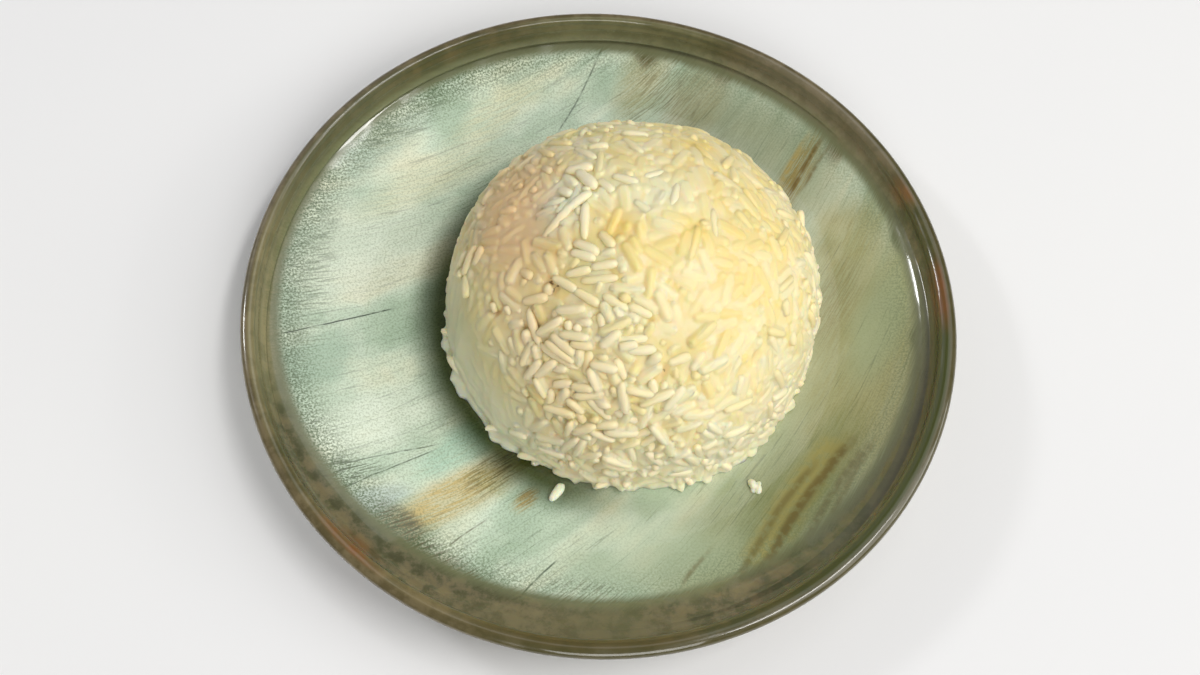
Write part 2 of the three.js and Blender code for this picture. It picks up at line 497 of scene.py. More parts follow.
def light(colour: Colour) -> tuple[float, float, float, float]:
    """Turns sRGB numbers from 0 to 255 into a linear colour.

    Args:
        colour: Red, green and blue.

    Returns:
        Linear red, green, blue and an alpha of 1.
    """
    linear = []
    for channel in colour:
        share = channel / 255.0
        linear.append(share / 12.92 if share <= 0.04045 else ((share + 0.055) / 1.055) ** 2.4)
    return (linear[0], linear[1], linear[2], 1.0)


@dataclass(frozen=True)
class Patch:
    """A soft oval area of the glaze with its own colour, in millimetres and degrees."""

    x: float
    y: float
    along: float
    across: float
    heading: float
    colour: Colour
    strength: float
    streaky: float = 0.6


@dataclass(frozen=True)
class Stroke:
    """A long thin line or ribbon in the glaze, in millimetres and degrees."""

    x: float
    y: float
    length: float
    heading: float
    width: float
    bow: float
    colour: Colour
    strength: float
    soft: float = 1.0


@dataclass(frozen=True)
class GlazeGround:
    """What the parts of the glaze read: the material under way, the place and the streaks' sockets."""

    mix: Recipe
    place: Socket
    ground: Socket
    x: Socket
    y: Socket
    z: Socket
    streaks: dict[str, Socket]


@dataclass(frozen=True)
class StreakedGlaze:
    """Glossy glaze in mint, cream, gold and olive streaks that fan out across the plate."""

    fan: float = 0.0107
    well_x: float = -1.0
    well_y: float = 4.6
    well_squash: float = 1.045
    well_radius: float = 94.5
    warp: float = 9.0
    roughness: float = 0.16
    clay_roughness: float = 0.6
    fibre_roughness: float = 0.06
    lip_wear: float = 0.1
    swell_depth: float = 0.0014
    fibre_depth: float = 0.00001
    refraction: float = 1.45
    coat: float = 0.8
    coat_roughness: float = 0.03
    clay_high: float = 1.3
    clay_low: float = 0.6
    # Painted shadow: the glaze is darkened in a ring beside the dome's left foot, where the dome's shadow
    # falls.
    pool_x: float = 9.0
    pool_y: float = 2.5
    pool_start: float = 56.0
    pool_end: float = 68.0
    pool_colour: Colour = (84, 90, 48)
    clay_colour: Colour = (181, 160, 132)
    speck_colour: Colour = (176, 182, 160)
    fibre_colour: Colour = (176, 178, 150)
    dash_colour: Colour = (100, 108, 76)
    thread_colour: Colour = (84, 94, 70)
    moss_colour: Colour = (80, 90, 58)
    leaf_colour: Colour = (86, 106, 72)
    band_colour: Colour = (112, 116, 82)
    under_colour: Colour = (92, 84, 56)
    inner_lip: tuple[Colour, Colour] = ((76, 74, 40), (96, 86, 50))
    outer_lip: tuple[Colour, Colour] = ((92, 82, 52), (116, 104, 74))
    lower_lip: Colour = (66, 64, 22)
    well_colours: Ladder = (
        (0.0, (184, 206, 180)),
        (0.3, (203, 222, 198)),
        (0.5, (217, 232, 209)),
        (0.7, (228, 239, 214)),
        (1.0, (239, 240, 211)),
    )
    wall_colours: Ladder = (
        (0.0, (80, 80, 54)),
        (0.35, (94, 93, 66)),
        (0.65, (112, 106, 80)),
        (1.0, (126, 116, 84)),
    )
    patches: tuple[Patch, ...] = (
        # These first patches are partly the glaze's own olive and mint and partly painted light: they make
        # the well darker on the right and lighter on the left.
        Patch(86.0, -6.0, 66.0, 50.0, 72.0, (160, 158, 106), 0.92, 0.1),
        Patch(50.0, -64.0, 46.0, 32.0, 45.0, (148, 156, 110), 0.9, 0.1),
        Patch(62.0, -42.0, 32.0, 16.0, 58.0, (124, 130, 76), 0.6, 0.2),
        Patch(44.0, 60.0, 42.0, 30.0, -35.0, (142, 150, 118), 0.9, 0.1),
        Patch(-72.0, 16.0, 30.0, 20.0, 30.0, (236, 244, 224), 0.7, 0.2),
        Patch(-62.0, -38.0, 28.0, 12.0, 26.0, (240, 250, 230), 0.75, 0.15),
        Patch(-57.0, -62.0, 13.0, 6.0, 35.0, (198, 214, 208), 0.7, 0.1),
        Patch(72.0, 34.0, 20.0, 12.0, 62.0, (158, 150, 94), 0.7, 0.3),
        Patch(66.0, 12.0, 20.0, 9.0, 62.0, (150, 144, 98), 0.7, 0.7),
        Patch(82.0, 6.0, 24.0, 9.0, 74.0, (172, 184, 146), 0.7, 0.1),
        Patch(-37.0, -59.0, 31.0, 8.5, 40.0, (206, 186, 122), 1.0, 0.4),
        Patch(-25.0, -49.0, 12.0, 6.5, 44.0, (142, 134, 86), 0.55, 0.9),
        Patch(-17.0, -58.0, 6.0, 3.5, 50.0, (176, 148, 78), 0.8, 0.8),
        Patch(-49.0, -71.0, 14.0, 6.5, -42.0, (112, 98, 60), 0.85, 0.5),
        Patch(-34.0, -80.0, 12.0, 5.0, -30.0, (118, 96, 66), 0.7, 0.5),
        Patch(55.0, 52.0, 26.0, 5.0, 66.0, (146, 126, 66), 0.85, 0.8),
        Patch(71.0, 68.0, 10.0, 7.0, 50.0, (98, 78, 38), 0.9, 0.4),
        Patch(6.0, 84.0, 20.0, 10.0, 72.0, (172, 166, 116), 0.7, 0.35),
        Patch(24.0, 80.0, 20.0, 12.0, 60.0, (150, 144, 100), 0.65, 0.3),
        Patch(7.0, 95.0, 5.0, 6.5, 0.0, (96, 80, 42), 0.9, 0.4),
        Patch(35.0, 91.0, 8.0, 6.0, 20.0, (96, 84, 48), 0.8, 0.5),
        Patch(-58.0, 42.0, 30.0, 8.0, 38.0, (228, 228, 190), 0.6, 0.5),
        Patch(-38.0, 68.0, 26.0, 8.0, 46.0, (226, 224, 184), 0.6, 0.6),
        Patch(-74.0, 52.0, 22.0, 10.0, 44.0, (176, 202, 186), 0.6, 0.2),
        Patch(-80.0, -22.0, 18.0, 10.0, 30.0, (168, 194, 170), 0.75, 0.2),
        Patch(-36.0, -43.0, 21.0, 6.5, 38.0, (186, 222, 200), 0.85, 0.15),
        Patch(18.0, -70.0, 34.0, 16.0, 0.0, (176, 192, 162), 0.7, 0.2),
        Patch(92.5, 1.0, 3.0, 5.5, 0.0, (86, 88, 48), 0.75, 0.6),
        Patch(87.5, 34.0, 3.0, 9.0, 22.0, (84, 92, 60), 0.7, 0.6),
        Patch(82.5, 46.0, 3.0, 8.0, 30.0, (86, 88, 62), 0.7, 0.6),
    )
    dark_zones: tuple[Patch, ...] = (
        Patch(-68.0, -56.0, 15.0, 7.0, 28.0, (74, 82, 56), 0.8),
        Patch(-46.0, -71.0, 16.0, 6.5, -38.0, (78, 70, 40), 0.75),
        Patch(-30.0, -79.0, 14.0, 5.0, -25.0, (90, 86, 58), 0.5),
        Patch(-25.0, -49.0, 14.0, 7.0, 44.0, (92, 90, 54), 0.5),
        Patch(2.0, -82.0, 16.0, 5.0, 0.0, (96, 96, 68), 0.45),
        Patch(-88.0, 12.0, 44.0, 10.0, 96.0, (86, 104, 74), 0.5),
        Patch(-70.0, 60.0, 30.0, 9.0, 42.0, (86, 102, 74), 0.5),
        Patch(14.0, 84.0, 22.0, 12.0, 70.0, (116, 106, 68), 0.4),
    )
    wall_patches: tuple[Patch, ...] = (
        Patch(-98.0, -8.0, 66.0, 14.0, 90.0, (158, 150, 112), 0.9, 0.35),
        Patch(0.0, 98.0, 50.0, 12.0, 0.0, (116, 116, 82), 0.7, 0.3),
        Patch(0.0, -94.0, 50.0, 10.0, 0.0, (120, 114, 84), 0.6, 0.4),
        Patch(-62.0, 74.0, 44.0, 30.0, 40.0, (70, 74, 50), 0.8, 0.2),
        Patch(62.0, 76.0, 44.0, 30.0, -50.0, (136, 126, 102), 0.85, 0.3),
        Patch(94.0, -20.0, 60.0, 24.0, 78.0, (98, 96, 64), 0.85, 0.2),
        Patch(-60.0, -80.0, 12.0, 7.0, -40.0, (120, 78, 36), 1.0, 0.6),
        Patch(60.0, -84.0, 16.0, 16.0, 0.0, (98, 80, 52), 0.8, 1.0),
    )
    lip_patches: tuple[Patch, ...] = (
        Patch(76.0, -30.0, 84.0, 60.0, 70.0, (58, 68, 16), 0.95, 0.2),
        Patch(-100.0, -16.0, 58.0, 26.0, 90.0, (138, 130, 94), 0.9, 0.3),
        Patch(-86.0, 46.0, 42.0, 20.0, 62.0, (96, 96, 68), 0.8, 0.3),
        Patch(-52.0, -86.0, 44.0, 22.0, -30.0, (134, 120, 82), 0.8, 0.35),
        Patch(62.0, 80.0, 44.0, 24.0, -50.0, (128, 118, 96), 0.8, 0.3),
        Patch(0.0, 101.0, 56.0, 12.0, 0.0, (116, 114, 78), 0.8, 0.3),
        Patch(4.0, -101.0, 52.0, 12.0, 0.0, (86, 74, 30), 0.85, 0.3),
        Patch(100.0, 14.0, 15.0, 8.0, 90.0, (118, 72, 32), 0.95, 0.2),
        Patch(88.0, 47.0, 9.0, 6.0, 0.0, (122, 82, 40), 0.8, 0.5),
        Patch(-62.0, -80.0, 15.0, 9.0, -40.0, (124, 80, 36), 0.9, 0.5),
    )
    strokes: tuple[Stroke, ...] = (
        Stroke(-94.1, -17.4, 38.4, 24.6, 0.22, 0.9, (40, 52, 38), 0.9),
        Stroke(-7.0, 96.6, 35.5, -110.1, 0.26, 0.6, (40, 50, 38), 0.6),
        Stroke(-72.2, -54.7, 34.0, 20.9, 0.2, 0.8, (70, 84, 62), 0.7),
        Stroke(-67.4, -61.0, 30.8, 33.2, 0.2, 0.7, (70, 84, 62), 0.75),
        Stroke(-79.4, -43.0, 8.0, 32.7, 0.3, 0.3, (78, 88, 62), 0.7),
        Stroke(-14.8, -86.4, 18.2, 52.8, 0.25, 0.4, (62, 80, 60), 0.8),
        Stroke(-35.7, -73.7, 15.7, 44.1, 0.22, 0.4, (90, 84, 56), 0.7),
        Stroke(46.5, -72.0, 50.0, 60.0, 3.4, 1.0, (164, 154, 88), 0.75, 1.3),
        Stroke(55.5, -64.0, 42.0, 61.0, 2.4, 1.2, (152, 146, 86), 0.6, 1.4),
        Stroke(41.5, -80.5, 52.0, 61.0, 0.9, 1.5, (104, 92, 48), 0.6, 2.0),
        Stroke(46.0, -81.0, 62.0, 59.5, 1.0, 2.2, (98, 80, 40), 0.7, 2.0),
        Stroke(51.5, -70.5, 46.0, 60.5, 0.8, 1.6, (120, 106, 56), 0.6, 2.0),
        Stroke(59.0, -68.0, 44.0, 60.5, 0.9, 1.2, (104, 92, 50), 0.6, 2.0),
        Stroke(66.5, -60.0, 36.0, 63.0, 0.8, 0.8, (110, 98, 58), 0.55, 2.0),
        Stroke(28.0, -80.0, 20.0, 58.0, 0.5, 0.6, (116, 100, 56), 0.6, 2.5),
        Stroke(54.0, 47.0, 30.0, 64.0, 0.5, 0.8, (104, 82, 36), 0.8, 2.5),
        Stroke(51.0, 50.0, 26.0, 65.0, 0.7, 0.6, (168, 146, 78), 0.7, 2.5),
        Stroke(58.0, 50.0, 22.0, 62.0, 0.45, 0.4, (112, 92, 44), 0.7, 2.5),
        Stroke(30.0, 62.0, 8.0, 72.0, 0.4, 0.2, (104, 106, 74), 0.6, 2.0),
        Stroke(22.0, 72.0, 12.0, 66.0, 0.4, 0.2, (104, 92, 52), 0.6, 2.0),
    )

    def build(self) -> Material:
        """Mixes the whole glaze.

        Returns:
            The finished material.
        """
        mix = Recipe("streaked_glaze")
        place = mix.place()
        x, y, z = mix.split(place)
        ground = mix.combine(x, y)
        streaks = self.streaks(mix, x, y, ground)
        base = GlazeGround(mix, place, ground, x, y, z, streaks)
        colour = self.wall_colour(base, self.lines(base, self.floor_colour(base)))
        clay = mix.span(z, self.clay_high, self.clay_low)
        colour = mix.tint(clay, colour, self.clay_colour)
        gloss = mix.scaled(clay, self.clay_roughness, self.roughness)
        gloss = mix.scaled(streaks["fibres"], self.fibre_roughness, gloss)
        gloss = mix.scaled(mix.span(z, 16.0, 19.0), self.lip_wear, gloss)
        normal = mix.relief(mix.noise(place, 0.06, 1.0), self.swell_depth)
        normal = mix.relief(streaks["fibres"], self.fibre_depth, normal)
        settings = {
            "Base Color": colour,
            "Roughness": gloss,
            "Normal": normal,
            "IOR": self.refraction,
            "Coat Weight": self.coat,
            "Coat Roughness": self.coat_roughness,
        }
        return mix.finished(settings)

    def streaks(self, mix: Recipe, x: Any, y: Any, ground: Any) -> dict[str, Any]:
        """Makes the streaks that fan from the left of the plate to its right.

        Args:
            mix: The material under way.
            x: The place's x in millimetres.
            y: The place's y in millimetres.
            ground: The place seen from above.

        Returns:
            Sockets by name, from broad bands to fine dashes and specks.
        """
        drift = mix.noise(ground, 0.018, 2.0)
        bent = mix.scaled(drift, 6.0, y)
        fan = mix.maths("EXPONENT", mix.product(x, self.fan))
        across = mix.scaled(fan, -1.0 / self.fan, bent)
        along = mix.product(mix.maths("ADD", x, y), 0.7)
        rates = {
            "bands": (0.06, 0.014, 2.0),
            "fibres": (1.3, 0.11, 3.0),
            "dashes": (1.6, 0.16, 1.0),
            "threads": (0.3, 0.009, 1.0),
        }
        result = {}
        for name, (rate, run, detail) in rates.items():
            vector = mix.combine(mix.product(across, rate), mix.product(along, run), len(name))
            result[name] = mix.noise(vector, 1.0, detail, 0.6)
        result["speck"] = mix.noise(ground, 1.6, 2.0, 0.7)
        result["cloud"] = mix.noise(ground, 0.034, 3.0, 0.55)
        return result

    def floor_colour(self, base: GlazeGround) -> Socket:
        """Colours the well from teal through mint to cream, then adds specks, dashes, patches and a painted
        shadow of the dome by its left foot.

        Args:
            base: What the glaze reads.

        Returns:
            The colour's socket.
        """
        mix, ground, streaks = base.mix, base.ground, base.streaks
        value = mix.scaled(streaks["bands"], 0.45, mix.product(streaks["cloud"], 0.55))
        colour = mix.ladder(mix.span(value, 0.36, 0.64), self.well_colours)
        warp = mix.vector("SCALE", mix.combine(streaks["cloud"], streaks["bands"]))
        warp.inputs["Scale"].default_value = self.warp
        pushed = mix.vector("ADD", ground, warp.outputs[0]).outputs[0]
        shifted = mix.away(pushed, self.warp / 2.0, self.warp / 2.0)
        threads = mix.span(streaks["fibres"], 0.42, 0.56)
        for patch in self.patches:
            mask = self.oval(mix, shifted, patch)
            grainy = mix.scaled(mix.maths("SUBTRACT", threads, 1.0), patch.streaky, 1.0)
            colour = mix.tint(mix.product(mask, grainy, patch.strength), colour, patch.colour)
        left = mix.span(base.x, 30.0, -30.0, 0.35, 1.0)
        specks = mix.span(streaks["speck"], 0.56, 0.36)
        colour = mix.tint(
            mix.product(specks, mix.product(left, 0.5)), colour, self.speck_colour, "MULTIPLY"
        )
        fibres = mix.product(mix.span(streaks["fibres"], 0.5, 0.36), mix.span(streaks["bands"], 0.4, 0.56))
        colour = mix.tint(
            mix.product(fibres, mix.product(left, 0.2)), colour, self.fibre_colour, "MULTIPLY"
        )
        dashes = mix.product(mix.span(streaks["dashes"], 0.64, 0.72), mix.span(streaks["bands"], 0.48, 0.6))
        colour = mix.tint(mix.product(dashes, mix.product(left, 0.12)), colour, self.dash_colour)
        brushed = mix.scaled(streaks["dashes"], 0.5, mix.product(streaks["fibres"], 0.5))
        brushed = mix.span(brushed, 0.5, 0.56)
        for zone in self.dark_zones:
            mask = mix.product(self.oval(mix, ground, zone), zone.strength)
            colour = mix.tint(mix.product(mask, brushed), colour, zone.colour)
        # Painted shadow of the dome: a darker ring of glaze beside its left foot, fading outwards.
        offset = mix.away(ground, self.pool_x, self.pool_y)
        away = mix.vector("LENGTH", offset).outputs["Value"]
        side = mix.measured(offset, -0.97, -0.24)
        near = mix.span(away, self.pool_end, self.pool_start)
        dome_shadow = mix.product(near, mix.span(side, -8.0, 36.0))
        return mix.tint(dome_shadow, colour, self.pool_colour, "MULTIPLY")

    def oval(self, mix: Recipe, ground: Any, patch: Patch) -> Socket:
        """Makes the soft mask of one patch.

        Args:
            mix: The material under way.
            ground: The place seen from above.
            patch: The patch.

        Returns:
            A socket that is 1 in the patch and 0 outside.
        """
        turned = mix.node("ShaderNodeMapping", vector_type="TEXTURE")
        mix.feed(turned.inputs["Vector"], ground)
        turned.inputs["Location"].default_value = (patch.x, patch.y, 0.0)
        turned.inputs["Rotation"].default_value = (0.0, 0.0, math.radians(patch.heading))
        turned.inputs["Scale"].default_value = (1.1 * patch.along, 1.1 * patch.across, 1.0)
        ball = mix.node("ShaderNodeTexGradient", gradient_type="SPHERICAL")
        mix.feed(ball.inputs["Vector"], turned.outputs[0])
        return mix.span(ball.outputs["Fac"], 0.0, 0.68)

    def lines(self, base: GlazeGround, colour: Socket) -> Socket:
        """Draws the thin dark threads, the long cracks and the brushed ribbons.

        Args:
            base: What the glaze reads.
            colour: The colour below.

        Returns:
            The colour's socket.
        """
        mix, ground, streaks = base.mix, base.ground, base.streaks
        level = mix.maths("ABSOLUTE", mix.maths("SUBTRACT", streaks["threads"], 0.5))
        thread = mix.span(level, 0.016, 0.003)
        broken = mix.span(streaks["fibres"], 0.44, 0.54)
        colour = mix.tint(mix.product(thread, broken, 0.32), colour, self.thread_colour)
        wander = mix.scaled(mix.noise(ground, 0.07, 2.0), 1.4, -0.7)
        uneven = mix.span(mix.noise(ground, 0.4, 2.0), 0.34, 0.55, 0.4, 1.0)
        for stroke in self.strokes:
            angle = math.radians(stroke.heading)
            offset = mix.away(ground, stroke.x, stroke.y)
            run = mix.measured(offset, math.cos(angle), math.sin(angle))
            side = mix.measured(offset, -math.sin(angle), math.cos(angle))
            swing = mix.maths("SINE", mix.product(run, math.pi / stroke.length))
            middle = mix.scaled(swing, stroke.bow, wander)
            off = mix.maths("ABSOLUTE", mix.maths("SUBTRACT", side, middle))
            mask = mix.span(off, stroke.width * (1.0 + 0.5 * stroke.soft), stroke.width * 0.5 / stroke.soft)
            ends = 5.0 * stroke.soft
            begun = mix.span(run, -0.5, ends * 0.5)
            unended = mix.span(run, stroke.length, stroke.length - ends)
            inside = mix.product(begun, unended)
            share = mix.product(mask, inside, mix.product(uneven, stroke.strength))
            colour = mix.tint(share, colour, stroke.colour)
        return colour

    def wall_colour(self, base: GlazeGround, colour: Socket) -> Socket:
        """Lays the olive and brown of the wall, lip and underside over the well's colour.

        Args:
            base: What the glaze reads.
            colour: The colour below.

        Returns:
            The colour's socket.
        """
        mix, ground, place, streaks = base.mix, base.ground, base.place, base.streaks
        offset = mix.away(ground, self.well_x, self.well_y)
        pressed = mix.vector("MULTIPLY", offset, (1.0, self.well_squash, 1.0)).outputs[0]
        radius = mix.vector("LENGTH", pressed).outputs["Value"]
        ragged = mix.scaled(streaks["speck"], 2.4, radius)
        ragged = mix.scaled(streaks["fibres"], 3.0, ragged)
        mottle = mix.noise(place, 0.16, 5.0, 0.68)
        khaki = mix.ladder(mix.span(mottle, 0.36, 0.64), self.wall_colours)
        green = mix.noise(place, 0.021, 2.0)
        khaki = mix.tint(mix.product(mix.span(green, 0.5, 0.64), 0.5), khaki, self.moss_colour)
        for patch in self.wall_patches:
            khaki = mix.tint(self.mottled_share(mix, ground, mottle, patch), khaki, patch.colour)
        left = mix.span(base.x, 10.0, -60.0)
        shade = mix.span(ragged, self.well_radius - 12.0, self.well_radius + 1.0)
        leafy = mix.span(mix.scaled(streaks["fibres"], 0.4, streaks["speck"]), 0.86, 0.56)
        leafy = mix.product(leafy, mix.scaled(left, 0.6, 0.35))
        colour = mix.tint(mix.product(shade, leafy), colour, self.leaf_colour)
        band = mix.span(ragged, self.well_radius - 0.5, self.well_radius + 2.5)
        colour = mix.tint(mix.product(band, 0.95), colour, self.band_colour)
        colour = mix.tint(mix.span(ragged, self.well_radius + 1.5, self.well_radius + 6.0), colour, khaki)
        outward = mix.vector("LENGTH", ground).outputs["Value"]
        lip = mix.product(mix.span(base.z, 15.5, 17.5), mix.span(outward, 96.4, 98.0))
        inner = mix.tint(mix.span(mottle, 0.4, 0.6), *self.inner_lip)
        for patch in self.lip_patches:
            inner = mix.tint(self.mottled_share(mix, ground, mottle, patch), inner, patch.colour)
        colour = mix.tint(mix.product(lip, 0.9), colour, inner)
        outer = mix.tint(mix.span(mottle, 0.4, 0.6), *self.outer_lip)
        lower_right = mix.span(mix.scaled(base.y, -0.6, base.x), 0.0, 60.0)
        outer = mix.tint(mix.product(lower_right, 0.7), outer, self.lower_lip)
        colour = mix.tint(mix.span(outward, 99.6, 100.8), colour, outer)
        return mix.tint(mix.span(base.z, 7.0, 4.5), colour, self.under_colour)

    def mottled_share(self, mix: Recipe, ground: Any, mottle: Any, patch: Patch) -> Socket:
        """Makes the mask of a patch that is broken up by the glaze's mottling.

        Args:
            mix: The material under way.
            ground: The place seen from above.
            mottle: The mottling.
            patch: The patch.

        Returns:
            The mask's socket.
        """
        mask = mix.product(self.oval(mix, ground, patch), patch.strength)
        broken = mix.maths("SUBTRACT", mix.span(mottle, 0.4, 0.58), 1.0)
        return mix.product(mask, mix.scaled(broken, patch.streaky, 1.0))


@dataclass(frozen=True)
class SteamedRice:
    """Moist cooked rice: cream and a little see-through, with painted shade in its gaps, pits and dents and
    painted light along the dome's left rim.
    """

    name: str = "steamed_rice"
    pale: Colour = (246, 235, 194)
    deep: Colour = (240, 222, 154)
    # Painted shade, warm: the colour of the gaps between grains and of the buried parts of grains.
    gap: Colour = (230, 192, 126)
    pit: Colour = (110, 72, 30)
    beige: Colour = (230, 193, 142)
    olive: Colour = (206, 202, 152)
    rind: Colour = (252, 247, 214)
    gold: Colour = (250, 212, 104)
    foot: Colour = (254, 236, 198)
    bright: Colour = (255, 247, 214)
    gap_share: float = 0.47
    refraction: float = 1.42
    subsurface: float = 0.7
    scatter: float = 0.0034
    scatter_radius: Triple = (1.0, 0.62, 0.3)
    grain_depth: float = 0.00009
    coat: float = 0.18
    coat_roughness: float = 0.22
    roughness: float = 0.42

    def build(self) -> Material:
        """Mixes the rice's finish.

        Returns:
            The finished material.
        """
        mix = Recipe(self.name)
        place = mix.place()
        tone = mix.reading("tone")
        hollow = mix.reading("hollow")
        tan = mix.reading("tan")
        white = mix.reading("white")
        cloud = mix.noise(place, 0.09, 3.0, 0.6)
        mellow = mix.scaled(cloud, 0.7, mix.product(tone, 0.5))
        colour = mix.tint(mix.span(mellow, 0.25, 0.9), self.pale, self.deep)
        colour = mix.tint(mix.product(mix.reading("gold"), 0.8), colour, self.gold)
        # Painted shade: the tan darkens the dents on the dome's upper left and parts of its left-front
        # flank.
        colour = mix.tint(mix.product(tan, 0.85), colour, self.beige)
        outer = mix.span(mix.split(place)[2], 40.0, 17.0)
        colour = mix.tint(mix.product(outer, 0.75), colour, self.foot)
        # The film pales towards its foot: partly its own colour, partly painted light on the lower left
        # flank.
        skin = mix.tint(outer, self.olive, self.rind)
        colour = mix.tint(mix.product(mix.reading("film"), 0.9), colour, skin)
        # The white is partly whiter grains and partly painted light in a pale line along the left rim.
        colour = mix.tint(mix.product(white, 0.85), colour, self.bright)
        # Painted shade: the deeper a gap between grains, the more of the warm gap colour.
        colour = mix.tint(mix.product(hollow, self.gap_share), colour, self.gap)
        # Painted shade: dark dots at the bottoms of the deepest gaps.
        spots = mix.noise(place, 0.8, 1.0)
        painted_pit_shade = mix.product(mix.span(hollow, 0.8, 1.0), mix.span(spots, 0.52, 0.66), 0.8)
        colour = mix.tint(painted_pit_shade, colour, self.pit)
        grain = mix.noise(place, 2.6, 3.0, 0.6)
        wet = mix.noise(place, 0.35, 2.0)
        settings = {
            "Base Color": colour,
            "Roughness": mix.scaled(wet, 0.22, self.roughness - 0.11),
            "Normal": mix.relief(grain, self.grain_depth),
            "IOR": self.refraction,
            "Subsurface Weight": self.subsurface,
            "Subsurface Radius": self.scatter_radius,
            "Subsurface Scale": self.scatter,
            "Coat Weight": self.coat,
            "Coat Roughness": self.coat_roughness,
        }
        return mix.finished(settings)


@dataclass(frozen=True)
class PaleFloor:
    """Plain off-white paper under the plate."""

    colour: Colour = (243, 243, 243)
    cloudy: Colour = (241, 241, 242)
    roughness: float = 0.9
    sheen: float = 0.1

    def build(self) -> Material:
        """Mixes the floor's finish.

        Returns:
            The finished material.
        """
        mix = Recipe("pale_floor")
        place = mix.place()
        cloud = mix.noise(place, 0.004, 2.0)
        colour = mix.tint(mix.span(cloud, 0.3, 0.7), self.colour, self.cloudy)
        return mix.finished(
            {"Base Color": colour, "Roughness": self.roughness, "Specular IOR Level": self.sheen}
        )


@dataclass
class Plate:
    """The round plate: a wide shallow well, a rolled lip and a foot ring. Sizes are in millimetres."""

    lip_radius: float = 100.2
    lip_height: float = 20.3
    lip_half_width: float = 2.25
    lip_half_height: float = 1.68
    flat_radius: float = 60.0
    well_radius: float = 94.5
    floor_top: float = 7.5
    well_rise: float = 6.0
    well_shift: tuple[float, float] = (-1.6, 2.0)
    under_height: float = 2.5
    foot: Outline = (
        (51.2, 2.35),
        (52.0, 1.5),
        (52.6, 0.4),
        (53.4, 0.02),
        (54.7, 0.0),
        (56.0, 0.02),
        (56.8, 0.4),
        (57.3, 1.4),
        (58.0, 2.3),
        (59.6, 2.6),
    )
    belly: Outline = (
        (59.6, 2.6),
        (68.0, 3.0),
        (77.0, 3.9),
        (90.0, 7.4),
        (99.0, 12.6),
        (101.9, 18.6),
    )
    belly_steps: int = 7
    wall_middle: tuple[float, float] = (97.4, 17.2)
    crease: Outline = ((95.3, 0.75), (92.4, 0.25), (87.5, 0.0))
    wall_steps: int = 8
    floor_radii: tuple[float, ...] = (83.0, 79.0, 75.0, 71.0, 67.0, 63.0, 58.0, 48.0, 32.0, 16.0, 0.0)
    steps: int = 240
    handwork: float = 0.5
    handwork_scale: float = 0.045
    finish: StreakedGlaze = StreakedGlaze()

    def section(self) -> list[tuple[float, float]]:
        """Draws half of the plate's cross-section, from the middle below to the middle above.

        Returns:
            Points as pairs of a radius and a height.
        """
        under = [(radius, self.under_height) for radius in (0.0, 25.0, 49.0)]
        belly = curve_through(list(self.belly), self.belly_steps)
        lip = []
        for degrees in range(-30, 166, 13):
            angle = math.radians(degrees)
            radius = self.lip_radius + self.lip_half_width * math.cos(angle)
            lip.append((radius, self.lip_height + self.lip_half_height * math.sin(angle)))
        crease = [(radius, self.well_height(radius) + lift) for radius, lift in self.crease]
        wall = curve_through([lip[-1], self.wall_middle, *crease], self.wall_steps)
        floor = [(radius, self.well_height(radius)) for radius in self.floor_radii]
        return under + list(self.foot) + belly[1:] + lip + wall[1:] + floor

    def well_height(self, radius: float) -> float:
        """Gives the height of the well's upper face at a radius."""
        outside = max(0.0, radius - self.flat_radius) / (self.well_radius - self.flat_radius)
        return self.floor_top + self.well_rise * outside * outside

    def build(self) -> Piece:
        """Turns the cross-section round, shifts the well and adds the hand-made unevenness.

        Returns:
            The finished plate.
        """
        points = self.section()
        start = (points[0][0] * MM, 0.0, points[0][1] * MM)
        piece = added(bpy.ops.mesh.primitive_plane_add, size=MM, location=start)
        piece.name = "plate_body"
        with edit_mode(piece):
            bpy.ops.mesh.select_all(action="SELECT")
            bpy.ops.mesh.merge(type="CENTER")
            for (radius, height), (last_radius, last_height) in zip(points[1:], points):
                step = ((radius - last_radius) * MM, 0.0, (height - last_height) * MM)
                bpy.ops.mesh.extrude_vertices_move(TRANSFORM_OT_translate={"value": step})
            bpy.ops.mesh.select_all(action="SELECT")
            bpy.ops.mesh.spin(
                steps=self.steps, angle=2.0 * math.pi, center=(0.0, 0.0, 0.0), axis=(0.0, 0.0, 1.0)
            )
        bpy.ops.object.transform_apply(location=True, rotation=True, scale=True)
        tidy_surface(piece, 0.02 * MM)
        self.shift_well(piece)
        self.add_handwork(piece)
        smooth_shading(piece)
        mount_piece(piece, "plate", self.finish.build())
        return piece

    def shift_well(self, piece: Piece) -> None:
        """Moves the well a little off the middle, as on the real plate.

        Args:
            piece: The plate.
        """
        places = vertex_places(piece) / MM
        radius = np.hypot(places[:, 0], places[:, 1])
        upper = places[:, 2] > self.under_height + 4.0 + 16.0 * smooth_step(radius, 90.0, 101.0)
        fading = 1.0 - smooth_step(radius, self.well_radius, self.lip_radius)
        share = np.where(radius < self.well_radius, radius / self.well_radius, fading)
        weigh_vertices(piece, "well", np.where(upper, np.clip(share, 0.0, 1.0), 0.0))
        for axis, shift in zip("XY", self.well_shift):
            apply_modifier(
                piece, "DISPLACE", direction=axis, strength=shift * MM, mid_level=0.0,
                vertex_group="well"
            )

    def add_handwork(self, piece: Piece) -> None:
        """Adds the slow unevenness of a plate shaped by hand.

        Args:
            piece: The plate.
        """
        places = vertex_places(piece) / MM
        radius = np.hypot(places[:, 0], places[:, 1])
        weigh_vertices(piece, "handwork", smooth_step(radius, 66.0, 98.0))
        clouds = bpy.data.textures.new("hand_made_waves", "CLOUDS")
        clouds.noise_scale = self.handwork_scale
        clouds.noise_depth = 1
        apply_modifier(
            piece,
            "DISPLACE",
            texture=clouds,
            texture_coords="LOCAL",
            direction="Z",
            strength=self.handwork * MM,
            mid_level=0.5,
            vertex_group="handwork",
        )


